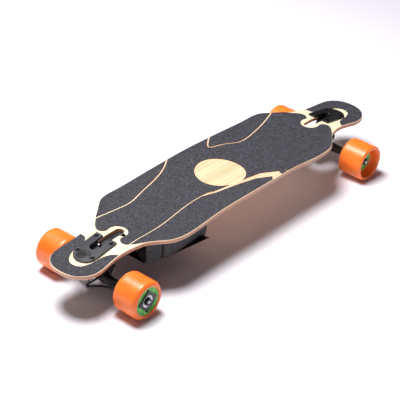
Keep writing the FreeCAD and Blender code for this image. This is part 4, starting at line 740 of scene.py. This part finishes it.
make_tyres()
make_driven_cores()
make_spiders()
make_bearings()
make_deck()
make_bushings()
make_cables()
make_cap()
make_side_pads()
COPIES = (
    # node, width of the rounded edge in millimetres, finish
    ("front_hanger", 1.2, "cast_black"), ("rear_hanger", 1.2, "cast_black"),
    ("front_baseplate", 0.8, "cast_black"), ("rear_baseplate", 0.7, "plate_grey"),
    ("esc_housing", 1.4, "housing"), ("battery_tray", 0.8, "tray"), ("esc_bracket", 0.6, "plate_grey"),
    ("mount_bolts", 0.25, "black_steel"), ("enclosure_screws", 0.25, "black_steel"),
    ("kingpin_nuts", 0.4, "steel"), ("front_left_core", 0.35, "green_nylon"),
    ("front_right_core", 0.35, "green_nylon"), ("charge_cap", 0.5, "rubber"),
    ("charge_socket", 0.3, "black_nylon"), ("power_button", 0.4, "black_nylon"),
    ("motor_plugs", 0.8, "rubber"),
)
for copied, edge_width, finish in COPIES:
    sharp_copy(copied, f"{copied}_finished", edge_width, finish)

# ---------------------------------------------------------------- stage

FOCAL_LENGTHS_PER_FRAME = 3.7588
CAMERA_PLACE = Vector((-2185.29, -1711.17, 1800.44)) * MM
YAW, PITCH, ROLL = 0.67858, 0.56378, 0.06313


def set_camera():
    """Camera at the viewing angle: aimed by yaw and pitch, then rolled about its own line of sight."""
    ahead = Vector((math.cos(PITCH) * math.cos(YAW), math.cos(PITCH) * math.sin(YAW), -math.sin(PITCH)))
    right = ahead.cross(Vector((0, 0, 1))).normalized()
    up = right.cross(ahead)
    rolled_right = math.cos(ROLL) * right + math.sin(ROLL) * up
    rolled_up = math.cos(ROLL) * up - math.sin(ROLL) * right
    data = bpy.data.cameras.new("studio_camera")
    data.sensor_width = 36.0
    data.lens = FOCAL_LENGTHS_PER_FRAME * data.sensor_width
    data.clip_start = 0.05
    camera = bpy.data.objects.new("studio_camera", data)
    turn = Matrix((rolled_right, rolled_up, -ahead)).transposed()
    camera.matrix_world = Matrix.Translation(CAMERA_PLACE) @ turn.to_4x4()
    bpy.context.scene.collection.objects.link(camera)
    bpy.context.scene.camera = camera


def area_light(name, place, target, size, watts, colour):
    data = bpy.data.lights.new(name, "AREA")
    data.shape = "DISK"
    data.size = size
    data.energy = watts
    data.color = colour
    lamp = bpy.data.objects.new(name, data)
    aim = (Vector(target) - Vector(place)).to_track_quat("-Z", "Y")
    lamp.matrix_world = Matrix.Translation(Vector(place)) @ aim.to_matrix().to_4x4()
    bpy.context.scene.collection.objects.link(lamp)


def set_stage():
    """Pale floor, even white surroundings, one large soft key from the left and behind, one weak fill."""
    reach = 12.0
    corners = [(-reach, -reach, 0), (reach, -reach, 0), (reach, reach, 0), (-reach, reach, 0)]
    mesh = bpy.data.meshes.new("studio_floor")
    mesh.from_pydata(corners, [], [(0, 1, 2, 3)])
    floor = bpy.data.objects.new("studio_floor", mesh)
    bpy.context.scene.collection.objects.link(floor)
    paper = {"Base Color": linear("#ECEAF4"), "Roughness": 0.9, "Specular IOR Level": 0.1}
    mesh.materials.append(material("white_studio_paper", paper)[0])
    world = bpy.data.worlds.new("studio_white")
    world.use_nodes = True
    back = world.node_tree.nodes["Background"]
    back.inputs["Color"].default_value = (0.95, 0.80, 1.0, 1)
    back.inputs["Strength"].default_value = 0.06
    bpy.context.scene.world = world
    bpy.context.scene.view_settings.view_transform = "Standard"
    area_light("key", (-0.3, 0.5, 2.3), (0, 0, 0), 1.15, 104, (1.0, 0.985, 0.965))
    area_light("fill", (-2.4, -1.6, 1.2), (-0.3, 0, 0.05), 1.6, 4, (1.0, 1.0, 1.0))


set_camera()
set_stage()
